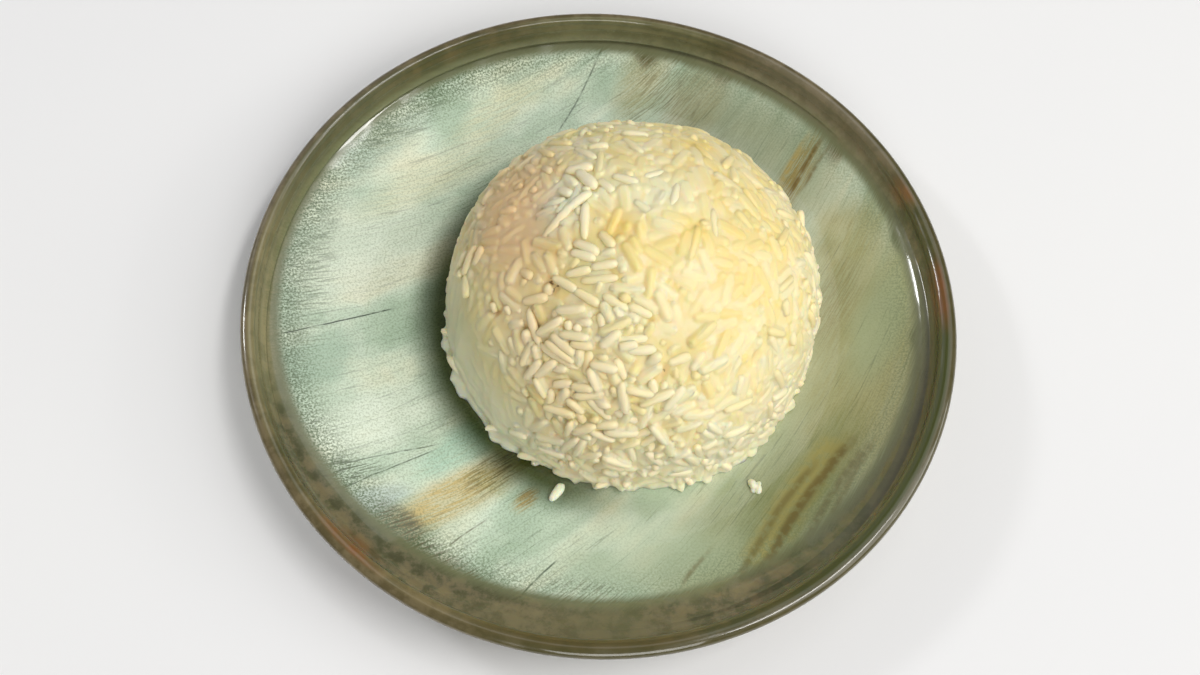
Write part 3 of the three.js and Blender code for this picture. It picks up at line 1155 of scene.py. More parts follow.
def curve_through(points: list[tuple[float, float]], steps: int) -> list[tuple[float, float]]:
    """Rounds a chain of points into a smooth curve through all of them.

    Args:
        points: The points to pass.
        steps: The number of parts between two points.

    Returns:
        The curve's points, both ends included.
    """
    chain = np.array([points[0], *points, points[-1]])
    curve = []
    for before, start, end, after in zip(chain, chain[1:], chain[2:], chain[3:]):
        for step in range(steps):
            t = step / steps
            slope = (end - before) * t
            turn = (2.0 * before - 5.0 * start + 4.0 * end - after) * t * t
            twist = (3.0 * (start - end) + after - before) * t * t * t
            place = 0.5 * (2.0 * start + slope + turn + twist)
            curve.append((float(place[0]), float(place[1])))
    curve.append(points[-1])
    return curve


@dataclass(frozen=True)
class Spot:
    """A soft round area of the dome, by its turn and rise in degrees."""

    turn: float
    rise: float
    spread: float
    amount: float

    def weight(self, turn: Array, rise: Array) -> Array:
        """Tells how strongly the spot reaches each direction.

        Args:
            turn: Angles round the dome.
            rise: Angles above its spring line.

        Returns:
            The spot's amount at its middle, fading outwards.
        """
        own_turn, own_rise = math.radians(self.turn), math.radians(self.rise)
        upright = np.sin(rise) * math.sin(own_rise)
        level = np.cos(rise) * math.cos(own_rise) * np.cos(turn - own_turn)
        angle = np.degrees(np.arccos(np.clip(upright + level, -1.0, 1.0)))
        return self.amount * np.exp(-((angle / self.spread) ** 2))


def ray(turn: Array, rise: Array) -> Array:
    """Gives the directions at the given angles round the dome and above the level."""
    return np.stack([np.cos(rise) * np.cos(turn), np.cos(rise) * np.sin(turn), np.sin(rise)], -1)


def sideways(turn: Array) -> Array:
    """Gives the level directions that run round the dome."""
    return np.stack([-np.sin(turn), np.cos(turn), np.zeros(len(turn))], -1)


def aimed(normal: Array, turn: Array, heading: Array, tilt: Array) -> Array:
    """Gives directions that lie in the dome's skin or tilt out of it.

    Args:
        normal: The skin's directions outwards.
        turn: Angles round the dome.
        heading: The directions' turns within the skin, in radians.
        tilt: The directions' angles out of the skin, in radians.

    Returns:
        Directions of shape (count, 3).
    """
    east = sideways(turn)
    north = np.cross(normal, east)
    flat = east * np.cos(heading)[:, None] + north * np.sin(heading)[:, None]
    return flat * np.cos(tilt)[:, None] + normal * np.sin(tilt)[:, None]


def combined(spots: tuple[Spot, ...], turn: Array, rise: Array) -> Array:
    """Adds up several spots in each direction, up to 1."""
    return np.clip(sum(spot.weight(turn, rise) for spot in spots), 0.0, 1.0)


@dataclass(frozen=True)
class DomeForm:
    """The skin of the moulded dome. Lengths are in millimetres, and angles that methods take in radians."""

    x: float = 9.0
    y: float = 2.5
    spring: float = 15.3
    radius: float = 53.5
    foot: float = 7.62
    wobble: float = 0.008
    dents: tuple[Spot, ...] = (
        Spot(176.0, 55.0, 9.0, 1.7),
        Spot(152.0, 47.0, 7.0, 0.8),
        Spot(-160.0, 79.0, 7.0, 1.6),
        Spot(-134.0, 47.0, 8.0, 0.7),
    )

    @property
    def middle(self) -> Array:
        """The dome's middle, at the height where its wall turns into a ball."""
        return np.array([self.x, self.y, self.spring])

    def polar(self, points: Array) -> tuple[Array, Array, Array]:
        """Gives places round the dome's middle.

        Args:
            points: Places of shape (count, 3).

        Returns:
            The turn and rise in radians, and the distance from the dome's middle.
        """
        east = points[:, 0] - self.x
        north = points[:, 1] - self.y
        up = np.maximum(points[:, 2] - self.spring, 0.0)
        flat = np.hypot(east, north)
        return np.arctan2(north, east), np.arctan2(up, flat), np.hypot(flat, up)

    def reach(self, turn: Array, rise: Array) -> Array:
        """Gives the distance of the skin from the dome's middle.

        Args:
            turn: Angles round the dome.
            rise: Angles above the spring line.

        Returns:
            Distances in millimetres.
        """
        wave = np.sin(2.0 * turn + 0.6)
        wave = wave + 0.7 * np.sin(3.0 * turn - 1.1 + 2.0 * rise)
        wave = wave + 0.5 * np.sin(5.0 * turn + 3.0 * rise)
        distance = self.radius * (1.0 + self.wobble * wave)
        for dent in self.dents:
            distance = distance - dent.weight(turn, rise)
        return distance

    def depth(self, points: Array) -> Array:
        """Tells how far places lie below the skin."""
        turn, rise, distance = self.polar(points)
        return self.reach(turn, rise) - distance

    def outward(self, points: Array) -> Array:
        """Gives the directions straight out of the dome at each place."""
        turn, rise, _ = self.polar(points)
        return ray(turn, rise)

    def skin(self, turn: Array, height: Array) -> Array:
        """Finds the skin's places at given heights above the foot.

        Args:
            turn: Angles round the dome.
            height: Heights above the foot, in millimetres.

        Returns:
            Places of shape (count, 3).
        """
        level = self.foot + height
        above = np.clip((level - self.spring) / self.radius, 0.0, 1.0)
        rise = np.arcsin(above)
        distance = self.reach(turn, rise)
        flat = np.cos(rise) * distance
        up = np.where(level > self.spring, self.spring + np.sin(rise) * distance, level)
        return np.stack([self.x + flat * np.cos(turn), self.y + flat * np.sin(turn), up], -1)


class Kind(Enum):
    """The kinds of grain that the dome is made of."""

    LONG = 0
    BOWED = 1
    BROKEN = 2
    LOOSE = 3


@dataclass(frozen=True)
class GrainMould:
    """The shape of one kind of grain, modelled once at a length and width of 1."""

    kind: Kind
    sides: int = 8
    rings: int = 7
    flatness: float = 0.88
    end_fullness: float = 1.45
    side_fullness: float = 1.15
    thin_end: float = 0.93
    thick_end: float = 1.04
    bend: float = 0.0

    def swell(self, level: float) -> float:
        """Tells how much fuller than a ball the grain is at a distance from its middle.

        Args:
            level: The distance along the grain, from 0 to 0.5.

        Returns:
            A factor for the grain's width.
        """
        if level > 0.4:
            return self.end_fullness
        if level > 0.25:
            return self.side_fullness
        return 1.0

    def model(self) -> tuple[Array, list[tuple[int, ...]]]:
        """Models the grain and takes its mesh.

        Returns:
            Its vertices, along x, and its faces.
        """
        piece = added(
            bpy.ops.mesh.primitive_uv_sphere_add,
            segments=self.sides,
            ring_count=self.rings,
            radius=0.5,
            location=(0.0, 0.0, 0.0),
            rotation=(0.0, math.pi / 2.0, 0.0),
        )
        bpy.ops.object.transform_apply(location=True, rotation=True, scale=True)
        places = vertex_places(piece)
        levels = sorted(set(np.round(places[:, 0], 4)))[1:-1]
        with edit_mode(piece):
            for number, level in enumerate(levels):
                lean = self.thin_end if number < len(levels) // 2 else self.thick_end
                size = self.swell(abs(level)) * lean
                pick_vertices(piece, np.abs(places[:, 0] - level) < 0.001)
                bpy.ops.transform.resize(
                    value=(1.0, size, size * self.flatness), center_override=(level, 0.0, 0.0)
                )
        if self.bend:
            angle = math.radians(self.bend)
            apply_modifier(piece, "SIMPLE_DEFORM", deform_method="BEND", deform_axis="Z", angle=angle)
        shape = vertex_places(piece)
        faces = [tuple(polygon.vertices) for polygon in piece.data.polygons]
        bpy.data.objects.remove(piece)
        return shape, faces


@dataclass
class GrainBed:
    """Places, headings and sizes of many grains, in millimetres."""

    middle: Array
    along: Array
    length: Array
    width: Array
    cover: Array
    kind: Array
    tone: Array
    roll: Array
    held: Array

    def chosen(self, mask: Array) -> "GrainBed":
        """Gives a bed with only the grains that the mask keeps."""
        return GrainBed(**{name: values[mask] for name, values in vars(self).items()})

    def joined(self, other: "GrainBed") -> "GrainBed":
        """Gives a bed with this one's grains and another's."""
        both = {name: np.concatenate([values, getattr(other, name)]) for name, values in vars(self).items()}
        return GrainBed(**both)


@dataclass(frozen=True)
class HandSet:
    """One grain with its own listed place on the dome: angles in degrees, sizes in millimetres."""

    turn: float
    rise: float
    heading: float
    length: float
    lift: float
    width: float
    tone: float
    kind: Kind = Kind.LONG
    tilt: float = 0.0


HAND_SET_GRAINS = (
    HandSet(141.0, 64.0, 129.0, 8.0, 1.5, 3.4, 0.0, Kind.LOOSE, 4.0),
    HandSet(146.0, 69.0, 76.0, 8.9, 1.7, 3.4, 0.0, Kind.LOOSE),
    HandSet(161.0, 65.0, 73.0, 5.7, 1.1, 2.7, 0.0, Kind.LOOSE, 8.0),
    HandSet(170.0, 70.0, 139.0, 9.7, 1.5, 2.8, 0.0, Kind.LOOSE),
    HandSet(-171.0, 73.0, 173.0, 10.7, 1.1, 2.7, 0.0, Kind.LOOSE, 4.0),
    HandSet(-176.0, 65.0, 132.0, 13.3, 0.8, 2.6, 0.2, Kind.BOWED, 6.0),
    HandSet(-145.0, 71.0, 32.0, 7.7, 0.9, 3.1, 0.0, Kind.LOOSE),
    HandSet(-140.0, 77.0, 3.0, 6.1, 0.9, 3.0, 0.0, Kind.LOOSE, 4.0),
    HandSet(-141.0, 69.0, 36.0, 7.2, 0.7, 2.8, 0.0, Kind.LOOSE),
    HandSet(119.0, 77.0, 133.0, 7.7, 0.8, 2.6, 0.1),
    HandSet(141.0, 75.0, 84.0, 6.2, 0.7, 3.0, 0.1, Kind.LOOSE),
    HandSet(147.0, 52.0, 73.0, 7.4, 0.6, 2.7, 0.2, Kind.LOOSE, 14.0),
    HandSet(158.0, 45.0, 106.0, 4.2, 0.5, 2.6, 0.3, Kind.LONG, 14.0),
    HandSet(160.0, 52.0, 104.0, 3.2, 0.5, 2.6, 0.3, Kind.BROKEN, 14.0),
    HandSet(127.0, 54.0, 103.0, 8.2, 0.4, 3.0, 0.2, Kind.LONG, 6.0),
    HandSet(120.0, 52.0, 108.0, 8.8, 0.4, 3.0, 0.2, Kind.LONG, 8.0),
    HandSet(83.0, 75.0, 39.0, 6.4, 0.3, 2.6, 0.0, Kind.BOWED),
    HandSet(43.0, 79.0, 129.0, 7.8, 0.3, 2.6, 0.0, Kind.BOWED),
    HandSet(91.0, 88.0, 142.0, 7.8, 0.3, 2.8, 0.1),
    HandSet(-134.0, 65.0, 57.0, 7.1, 0.5, 2.6, 0.3),
    HandSet(-122.0, 71.0, 44.0, 7.3, 0.5, 2.6, 0.2),
    HandSet(-119.0, 67.0, 37.0, 10.0, 0.3, 2.4, 0.4),
    HandSet(-135.0, 60.0, 17.0, 8.0, 0.6, 2.7, 0.3, Kind.LOOSE),
    HandSet(-120.0, 61.0, 3.0, 8.2, 0.5, 2.7, 0.3, Kind.LOOSE),
    HandSet(-103.0, 63.0, 167.0, 7.7, 0.4, 2.8, 0.3),
    HandSet(-88.0, 62.0, 159.0, 7.0, 0.4, 2.8, 0.3),
    HandSet(-153.0, 52.0, 35.0, 4.5, 0.5, 2.8, 0.4, Kind.BROKEN, 10.0),
    HandSet(-141.0, 50.0, 58.0, 8.2, 0.5, 3.0, 0.4),
    HandSet(-133.0, 44.0, 150.0, 10.2, 0.8, 2.7, 0.0, Kind.BOWED),
    HandSet(-118.0, 42.0, 179.0, 11.7, 0.8, 2.7, 0.0, Kind.BOWED),
    HandSet(-127.0, 51.0, 138.0, 5.3, 0.4, 2.5, 0.3, Kind.LONG, 8.0),
    HandSet(-120.0, 51.0, 136.0, 4.0, 0.5, 2.4, 0.1, Kind.BROKEN, 10.0),
    HandSet(-116.0, 52.0, 153.0, 3.0, 0.5, 2.4, 0.1, Kind.BROKEN, 20.0),
    HandSet(-107.0, 57.0, 118.0, 4.3, 0.4, 2.6, 0.2),
    HandSet(-86.0, 51.0, 5.0, 7.8, 0.7, 3.0, 0.0, Kind.LOOSE),
    HandSet(-91.0, 54.0, 9.0, 8.5, 0.5, 2.4, 0.1),
    HandSet(-94.0, 45.0, 122.0, 6.4, 0.4, 2.7, 0.2),
    HandSet(-107.0, 44.0, 100.0, 7.7, 0.3, 3.2, 0.3),
    HandSet(-113.0, 35.0, 32.0, 6.1, 0.9, 2.8, 0.0, Kind.LOOSE),
    HandSet(-115.0, 26.0, 101.0, 10.7, 0.7, 2.9, 0.1),
    HandSet(-108.0, 32.0, 110.0, 7.7, 0.4, 2.5, 0.3),
    HandSet(-99.0, 31.0, 145.0, 9.2, 0.5, 2.6, 0.2),
    HandSet(-99.0, 21.0, 81.0, 9.7, 0.6, 3.0, 0.2),
    HandSet(-90.0, 30.0, 153.0, 7.6, 0.4, 3.0, 0.0, Kind.LOOSE),
    HandSet(-108.0, 25.0, 150.0, 7.6, 0.4, 2.5, 0.3),
    HandSet(-103.0, 25.0, 131.0, 8.2, 0.4, 2.5, 0.3),
    HandSet(-81.0, 40.0, 103.0, 5.7, 0.8, 2.6, 0.1, Kind.LOOSE, 14.0),
    HandSet(-77.0, 38.0, 88.0, 6.5, 0.3, 2.6, 0.3),
    HandSet(-84.0, 24.0, 33.0, 5.7, 0.4, 2.6, 0.3),
    HandSet(-82.0, 21.0, 44.0, 6.0, 0.4, 2.6, 0.3),
    HandSet(-95.0, 6.0, 47.0, 6.8, 0.6, 2.8, 0.1),
    HandSet(-80.0, 12.0, 123.0, 8.7, 0.6, 2.8, 0.1),
    HandSet(-87.0, 15.0, 105.0, 8.3, 0.4, 2.5, 0.2),
    HandSet(-70.0, 47.0, 7.0, 6.5, 0.4, 3.0, 0.2),
    HandSet(-120.0, 30.0, 117.0, 5.3, 0.3, 2.6, 0.4),
    HandSet(-130.0, 33.0, 141.0, 3.2, 0.5, 2.6, 0.3, Kind.BROKEN, 16.0),
    HandSet(-151.0, 37.0, 153.0, 2.9, 0.5, 2.1, 0.1, Kind.BROKEN, 20.0),
    HandSet(-146.0, 41.0, 148.0, 2.6, 0.5, 2.1, 0.1, Kind.BROKEN, 26.0),
    HandSet(-107.0, -1.0, 102.0, 5.7, 0.5, 2.2, 0.1, Kind.BROKEN, 14.0),
    HandSet(-124.0, 25.0, 130.0, 2.8, 0.5, 2.2, 0.1, Kind.BROKEN, 16.0),
    HandSet(-72.0, 8.0, 131.0, 9.4, 0.4, 2.7, 0.2),
    HandSet(-66.0, 11.0, 105.0, 10.1, 0.4, 2.7, 0.2, Kind.LONG, 10.0),
    HandSet(3.0, 70.0, 7.0, 8.3, 0.2, 2.4, 0.1, Kind.BOWED),
    HandSet(26.0, 22.0, 21.0, 5.4, 1.6, 2.6, 0.1, Kind.LONG, 20.0),
)


@dataclass(frozen=True)
class Heap:
    """Loose grains round one place of the dome: its turn, rise and spread in degrees, and their number."""

    turn: float
    rise: float
    spread: float
    count: int
    cover: float = -1.1


@dataclass(frozen=True)
class Arc:
    """Grains along a part of the dome's foot: its ends in degrees, and their number."""

    start: float
    end: float
    count: int


@dataclass
class RiceDome:
    """The moulded rice: a pressed core, and grains in several kinds around it. Sizes are in millimetres."""

    form: DomeForm = DomeForm()
    outer_grains: int = 1180
    inner_grains: int = 760
    length_low: float = 7.2
    length_high: float = 10.2
    width_low: float = 2.8
    width_high: float = 3.4
    outer_depth: float = 1.5
    inner_depth: float = 3.9
    kind_shares: Triple = (0.5, 0.33, 0.17)
    broken_length: float = 0.62
    shell: float = 6.2
    beads: int = 4
    rounds: int = 52
    search_every: int = 4
    search_margin: float = 0.8
    squeeze: float = 0.8
    pace: float = 1.3
    patch_cuts: int = 14
    wall_steps: int = 18
    bottom_rings: Triple = (0.985, 0.93, 0.5)
    bottom_spread: float = 1.012
    press: float = 0.6
    loose_drop: float = 0.08
    gap: float = 0.42
    loose_gap: float = 0.4
    foot_gap: float = 0.3
    pit_gap: float = 1.3
    smear_gap: float = 0.1
    highest_pressed: float = 0.1
    highest_loose: float = 0.9
    highest_foot: float = 1.3
    rounding: float = 0.12
    brim: float = 0.9
    finish: SteamedRice = SteamedRice()
    single_finish: SteamedRice = SteamedRice(
        name="single_rice_grains",
        pale=(248, 239, 202),
        deep=(244, 227, 164),
        subsurface=0.4,
        scatter=0.001,
    )
    moulds: tuple[GrainMould, ...] = (
        GrainMould(Kind.LONG),
        GrainMould(Kind.BOWED, bend=34.0),
        GrainMould(Kind.BROKEN, end_fullness=1.6),
        GrainMould(Kind.LOOSE, bend=14.0),
    )
    loose_heaps: tuple[Heap, ...] = (
        Heap(165.0, 66.0, 9.0, 7),
        Heap(-116.0, 40.0, 17.0, 20, -1.9),
        Heap(-95.0, 22.0, 16.0, 16, -1.9),
        Heap(-176.0, 30.0, 8.0, 5, -1.9),
        Heap(160.0, 32.0, 9.0, 8),
        Heap(140.0, 34.0, 11.0, 9),
        Heap(115.0, 44.0, 9.0, 5),
    )
    foot_arcs: tuple[Arc, ...] = (
        Arc(-172.0, -140.0, 5),
        Arc(-138.0, -114.0, 3),
        Arc(-108.0, -86.0, 5),
        Arc(-74.0, -36.0, 6),
        Arc(-36.0, 60.0, 24),
        Arc(60.0, 184.0, 18),
    )
    loose_spots: tuple[Spot, ...] = (
        Spot(-116.0, 41.0, 23.0, 1.0),
        Spot(-104.0, 24.0, 21.0, 0.9),
        Spot(-84.0, 42.0, 20.0, 0.7),
        Spot(-88.0, 14.0, 15.0, 0.5),
        Spot(-135.0, 64.0, 14.0, 0.7),
        Spot(168.0, 67.0, 11.0, 0.7),
        Spot(140.0, 28.0, 22.0, 0.42),
        Spot(168.0, 30.0, 15.0, 0.42),
    )
    smear_spots: tuple[Spot, ...] = (
        Spot(-150.0, 14.0, 16.0, 1.0),
        Spot(-129.0, 5.0, 12.0, 0.95),
        Spot(-171.0, 14.0, 15.0, 0.85),
        Spot(178.0, 52.0, 11.0, 0.55),
        Spot(166.0, 36.0, 10.0, 0.4),
    )
    white_spots: tuple[Spot, ...] = (
        Spot(165.0, 67.0, 10.0, 0.9),
        Spot(60.0, 80.0, 11.0, 0.6),
        Spot(-60.0, 4.0, 24.0, 0.35),
        Spot(20.0, 8.0, 24.0, 0.35),
    )
    # Painted shade in the dents on the upper left and on the left-front flank, read by the finish as tan.
    tan_spots: tuple[Spot, ...] = (
        Spot(178.0, 50.0, 16.0, 1.0),
        Spot(160.0, 42.0, 18.0, 0.7),
        Spot(-145.0, 45.0, 16.0, 0.4),
        Spot(-110.0, 34.0, 20.0, 0.3),
    )
    film_spots: tuple[Spot, ...] = (
        Spot(-156.0, 14.0, 20.0, 1.0),
        Spot(-128.0, 6.0, 16.0, 0.9),
    )
    gold_spots: tuple[Spot, ...] = (
        Spot(-150.0, 82.0, 5.0, 1.0),
        Spot(-11.0, 76.0, 5.0, 0.7),
        Spot(65.0, 53.0, 4.5, 0.8),
        Spot(20.0, 52.0, 38.0, 0.3),
        Spot(-158.0, 63.0, 4.0, 0.6),
    )
    rim_spots: tuple[Spot, ...] = (
        Spot(-165.0, 0.0, 24.0, 1.0),
        Spot(-135.0, 0.0, 18.0, 0.8),
    )
    flake_spots: tuple[Spot, ...] = (
        Spot(-61.0, 0.0, 15.0, 1.0),
        Spot(-89.0, 0.0, 5.5, 0.9),
        Spot(-99.0, 0.0, 4.5, 0.8),
        Spot(-150.0, 0.0, 7.0, 0.7),
        Spot(-128.0, 0.0, 7.0, 0.5),
        Spot(-165.0, 0.0, 6.0, 0.7),
    )

    def scatter(self, rng: np.random.Generator) -> GrainBed:
        """Strews the grains of the outer and inner layer over the dome.

        Args:
            rng: The source of chance.

        Returns:
            The grains before they settle.
        """
        height_range = self.form.spring + self.form.radius - self.form.foot
        layers = []
        for count, depth in ((self.outer_grains, self.outer_depth), (self.inner_grains, self.inner_depth)):
            order = np.arange(count) + rng.uniform(0.0, 0.6, count)
            height = 1.4 + (height_range - 1.8) * order / count
            turn = np.mod(order * GOLDEN_TURN + rng.normal(0.0, 0.02, count) + depth, 2.0 * math.pi)
            skin = self.form.skin(turn, height)
            normal = self.form.outward(skin)
            heading = rng.uniform(0.0, math.pi, count)
            tilt = np.radians(rng.normal(0.0, 9.0, count))
            flank = np.cos(turn - 0.2) > -0.75 + rng.uniform(0.0, 0.3, count)
            low = (rng.uniform(size=count) < 0.8 - height / 90.0) & flank
            tilt = np.where(low, np.radians(rng.uniform(12.0, 65.0, count)), tilt)
            along = aimed(normal, turn, heading, tilt)
            length = rng.uniform(self.length_low, self.length_high, count)
            kind = rng.choice(3, count, p=self.kind_shares)
            length = np.where(kind == Kind.BROKEN.value, length * self.broken_length, length)
            width = rng.uniform(self.width_low, self.width_high, count)
            turn, rise, _ = self.form.polar(skin)
            loose = combined(self.loose_spots, turn, rise)
            smear = combined(self.smear_spots, turn, rise)
            rough = loose * rng.uniform(0.0, 0.8, count)
            rough = rough + low * rng.uniform(0.3, 1.4, count) * (1.0 - smear)
            cover = 0.45 * smear - np.where(depth == self.outer_depth, rough, 0.0)
            middle = skin - normal * (depth + cover)[:, None]
            tone = rng.uniform(size=count)
            roll = rng.uniform(0.0, 2.0 * math.pi, count)
            held = np.zeros(count, bool)
            layers.append(GrainBed(middle, along, length, width, cover, kind, tone, roll, held))
        return layers[0].joined(layers[1])

    def skirt(self, rng: np.random.Generator) -> GrainBed:
        """Strews short grains round the foot of the dome, where they stick out over the plate.

        Args:
            rng: The source of chance.

        Returns:
            The grains before they settle.
        """
        turns = [rng.uniform(arc.start, arc.end, arc.count) for arc in self.foot_arcs]
        turn = np.radians(np.concatenate(turns))
        count = len(turn)
        width = rng.uniform(2.0, 3.4, count)
        height = width * 0.5 + rng.uniform(0.0, 2.6, count) ** 1.3
        skin = self.form.skin(turn, height)
        outward = np.stack([np.cos(turn), np.sin(turn), np.zeros(count)], -1)
        heading = rng.uniform(-1.3, 1.3, count)
        along = outward * np.cos(heading)[:, None] + sideways(turn) * np.sin(heading)[:, None]
        along[:, 2] += rng.uniform(-0.1, 0.3, count)
        along /= np.linalg.norm(along, axis=1)[:, None]
        length = rng.uniform(6.0, 9.0, count)
        reach = length / 2.0 * np.abs(np.cos(heading)) + width / 2.0 * np.abs(np.sin(heading))
        middle = skin + outward * (rng.uniform(0.3, 1.7, count) - reach)[:, None]
        cover = np.full(count, -2.7)
        kind = np.full(count, Kind.LOOSE.value)
        tone = rng.uniform(0.0, 0.4, count)
        roll = rng.uniform(0.0, 2.0 * math.pi, count)
        return GrainBed(middle, along, length, width, cover, kind, tone, roll, np.zeros(count, bool))

    def loosen(self, rng: np.random.Generator) -> GrainBed:
        """Strews the loose grains that lie on top of the pressed ones.

        Args:
            rng: The source of chance.

        Returns:
            The grains before they settle.
        """
        parts = []
        for heap in self.loose_heaps:
            count = heap.count
            spread = heap.spread * 0.6
            rise = np.radians(np.clip(heap.rise + rng.normal(0.0, spread, count), 3.0, 88.0))
            turn = np.radians(heap.turn + rng.normal(0.0, spread, count) / np.cos(rise))
            normal = ray(turn, rise)
            skin = self.form.middle + normal * self.form.reach(turn, rise)[:, None]
            heading = rng.uniform(0.0, math.pi, count)
            tilt = np.radians(rng.uniform(0.0, 40.0, count))
            along = aimed(normal, turn, heading, tilt)
            length = rng.uniform(6.0, 9.6, count)
            width = rng.uniform(2.4, 3.1, count)
            cover = np.full(count, heap.cover)
            kind = np.full(count, Kind.LOOSE.value)
            tone = rng.uniform(0.0, 0.5, count)
            roll = rng.uniform(0.0, 2.0 * math.pi, count)
            held = np.zeros(count, bool)
            middle = skin + normal * 0.3
            parts.append(GrainBed(middle, along, length, width, cover, kind, tone, roll, held))
        bed = parts[0]
        for part in parts[1:]:
            bed = bed.joined(part)
        return bed

    def hand_set(self) -> GrainBed:
        """Sets the grains that have their own place on the dome.

        Returns:
            The placed grains, which stay where they are.
        """
        count = len(HAND_SET_GRAINS)
        turn, rise, heading, tilt = (
            np.radians(column(name)) for name in ("turn", "rise", "heading", "tilt")
        )
        length, width, lift, tone = (column(name) for name in ("length", "width", "lift", "tone"))
        normal = ray(turn, rise)
        distance = self.form.reach(turn, rise) - width / 2.0 + lift
        middle = self.form.middle + normal * distance[:, None]
        along = aimed(normal, turn, heading, tilt)
        cover = np.full(count, -2.5)
        kind = np.array([grain.kind.value for grain in HAND_SET_GRAINS])
        return GrainBed(
            middle, along, length, width, cover, kind, tone, np.zeros(count), np.ones(count, bool)
        )

    def settle(self, bed: GrainBed) -> None:
        """Pushes overlapping grains apart inside the dome's skin until they lie pressed together.

        Args:
            bed: The grains, whose places and headings change.
        """
        count = len(bed.length)
        spacing = np.linspace(-0.5, 0.5, self.beads)
        owner = np.repeat(np.arange(count), self.beads)
        thickness = np.repeat(bed.width / 2.0, self.beads)
        cover = np.repeat(bed.cover, self.beads)
        free = (~bed.held).astype(float)[:, None]
        first = second = np.zeros(0, int)
        for turn in range(self.rounds):
            offsets = (bed.length - bed.width)[:, None] * spacing
            beads = (bed.middle[:, None] + bed.along[:, None] * offsets[..., None]).reshape(-1, 3)
            if turn % self.search_every == 0:
                first, second = near_pairs(beads, owner, self.width_high + self.search_margin)
            apart = beads[first] - beads[second]
            distance = np.maximum(np.linalg.norm(apart, axis=1), 1e-6)
            overlap = np.maximum(self.squeeze * (thickness[first] + thickness[second]) - distance, 0.0)
            move = apart / distance[:, None] * (0.5 * overlap)[:, None]
            push = gathered(first, move, len(beads)) - gathered(second, move, len(beads))
            normal = self.form.outward(beads)
            depth = self.form.depth(beads)
            push -= normal * np.maximum(thickness + cover - depth, 0.0)[:, None]
            push += normal * np.maximum(depth + thickness - self.shell, 0.0)[:, None]
            push[:, 2] += np.maximum(self.form.foot + 0.95 * thickness - beads[:, 2], 0.0)
            push = push.reshape(count, self.beads, 3)
            bed.middle += free * push.mean(1) * self.pace
            lever = (offsets[..., None] * push).sum(1) / np.maximum((offsets**2).sum(1), 0.01)[:, None]
            bed.along += free * lever
            bed.along /= np.linalg.norm(bed.along, axis=1)[:, None]

    def core(self, bed: GrainBed) -> Piece:
        """Models the pressed core, which shows the grains below its skin.

        Args:
            bed: The settled grains.

        Returns:
            The finished core.
        """
        form = self.form
        middle = (form.x * MM, form.y * MM, form.spring * MM)
        piece = added(bpy.ops.mesh.primitive_cube_add, size=2.0 * form.radius * MM, location=middle)
        piece.name = "rice_core"
        bpy.ops.object.transform_apply(location=True, rotation=True, scale=True)
        with edit_mode(piece):
            bpy.ops.mesh.select_all(action="SELECT")
            bpy.ops.mesh.subdivide(number_cuts=self.patch_cuts)
            bpy.ops.mesh.subdivide(number_cuts=self.patch_cuts)
            bpy.ops.mesh.bisect(
                plane_co=(0.0, 0.0, form.spring * MM), plane_no=(0.0, 0.0, 1.0), clear_inner=True
            )
        select_only(piece)
        centre = form.middle * MM
        places = vertex_places(piece) - centre
        warped = np.tan(places / (form.radius * MM) * (math.pi / 4.0))
        warped /= np.linalg.norm(warped, axis=1)[:, None]
        move_vertices(piece, centre + warped * form.radius * MM)
        step = (form.spring - form.foot) / self.wall_steps * MM
        with edit_mode(piece):
            bpy.ops.mesh.select_non_manifold()
            for _ in range(self.wall_steps):
                bpy.ops.mesh.extrude_edges_move(TRANSFORM_OT_translate={"value": (0.0, 0.0, -step)})
            for share in self.bottom_rings:
                bpy.ops.mesh.extrude_edges_move(TRANSFORM_OT_translate={"value": (0.0, 0.0, 0.0)})
                bpy.ops.transform.resize(value=(share, share, 1.0), center_override=tuple(centre))
            bpy.ops.mesh.edge_face_add()
        tidy_surface(piece, 0.002 * MM)
        self.emboss(piece, bed)
        smooth_shading(piece)
        return piece

    def emboss(self, piece: Piece, bed: GrainBed) -> None:
        """Presses the grains' shapes into the core's skin and stores what its finish needs.

        Args:
            piece: The core.
            bed: The settled grains.
        """
        form = self.form
        places = vertex_places(piece) / MM
        turn, rise, distance = form.polar(places)
        bottom = (places[:, 2] < form.foot + 0.05) & (distance < form.radius * 0.999)
        normal = form.outward(places)
        skin = places + normal * (form.reach(turn, rise) - distance)[:, None]
        skin[bottom] = places[bottom]
        smear = combined(self.smear_spots, turn, rise)
        height, top = grain_relief(bed, skin, normal)
        height = self.pressed(height, places, skin, turn, rise)
        height = relax_heights(piece, height, 0.1 + 0.9 * smear, 6)
        streaks = ripple(skin * np.array([1.0, 1.0, 0.25]), 11.0, SEED + 2)
        fine_streaks = ripple(skin * np.array([1.0, 1.0, 0.3]), 4.6, SEED + 9)
        height += smear * (0.24 * streaks + 0.1 * fine_streaks)
        edge = smooth_step(places[:, 2], form.foot, form.foot + 1.2)
        rim = combined(self.rim_spots, turn, rise)
        low = 1.0 - smooth_step(places[:, 2], form.foot + 0.7, form.foot + 2.2)
        brim = np.exp(-(((places[:, 2] - form.spring + 0.5) / 2.2) ** 2)) * rim * smear
        total = height * (0.4 + 0.6 * edge) + self.ledge(skin, turn, rise) * low + self.brim * brim
        total[bottom] = 0.0
        moved = skin + normal * total[:, None]
        spread = np.where(distance > 0.95 * form.radius, self.bottom_spread, 1.0)[bottom, None]
        moved[bottom, :2] = form.middle[:2] + (moved[bottom, :2] - form.middle[:2]) * spread
        move_vertices(piece, moved * MM)
        # How deep each gap lies; the finish paints shade there.
        write_attribute(piece, "hollow", smooth_step(-height, 0.35, 1.9) * (1.0 - smear))
        tone = np.append(bed.tone, 0.5)[top]
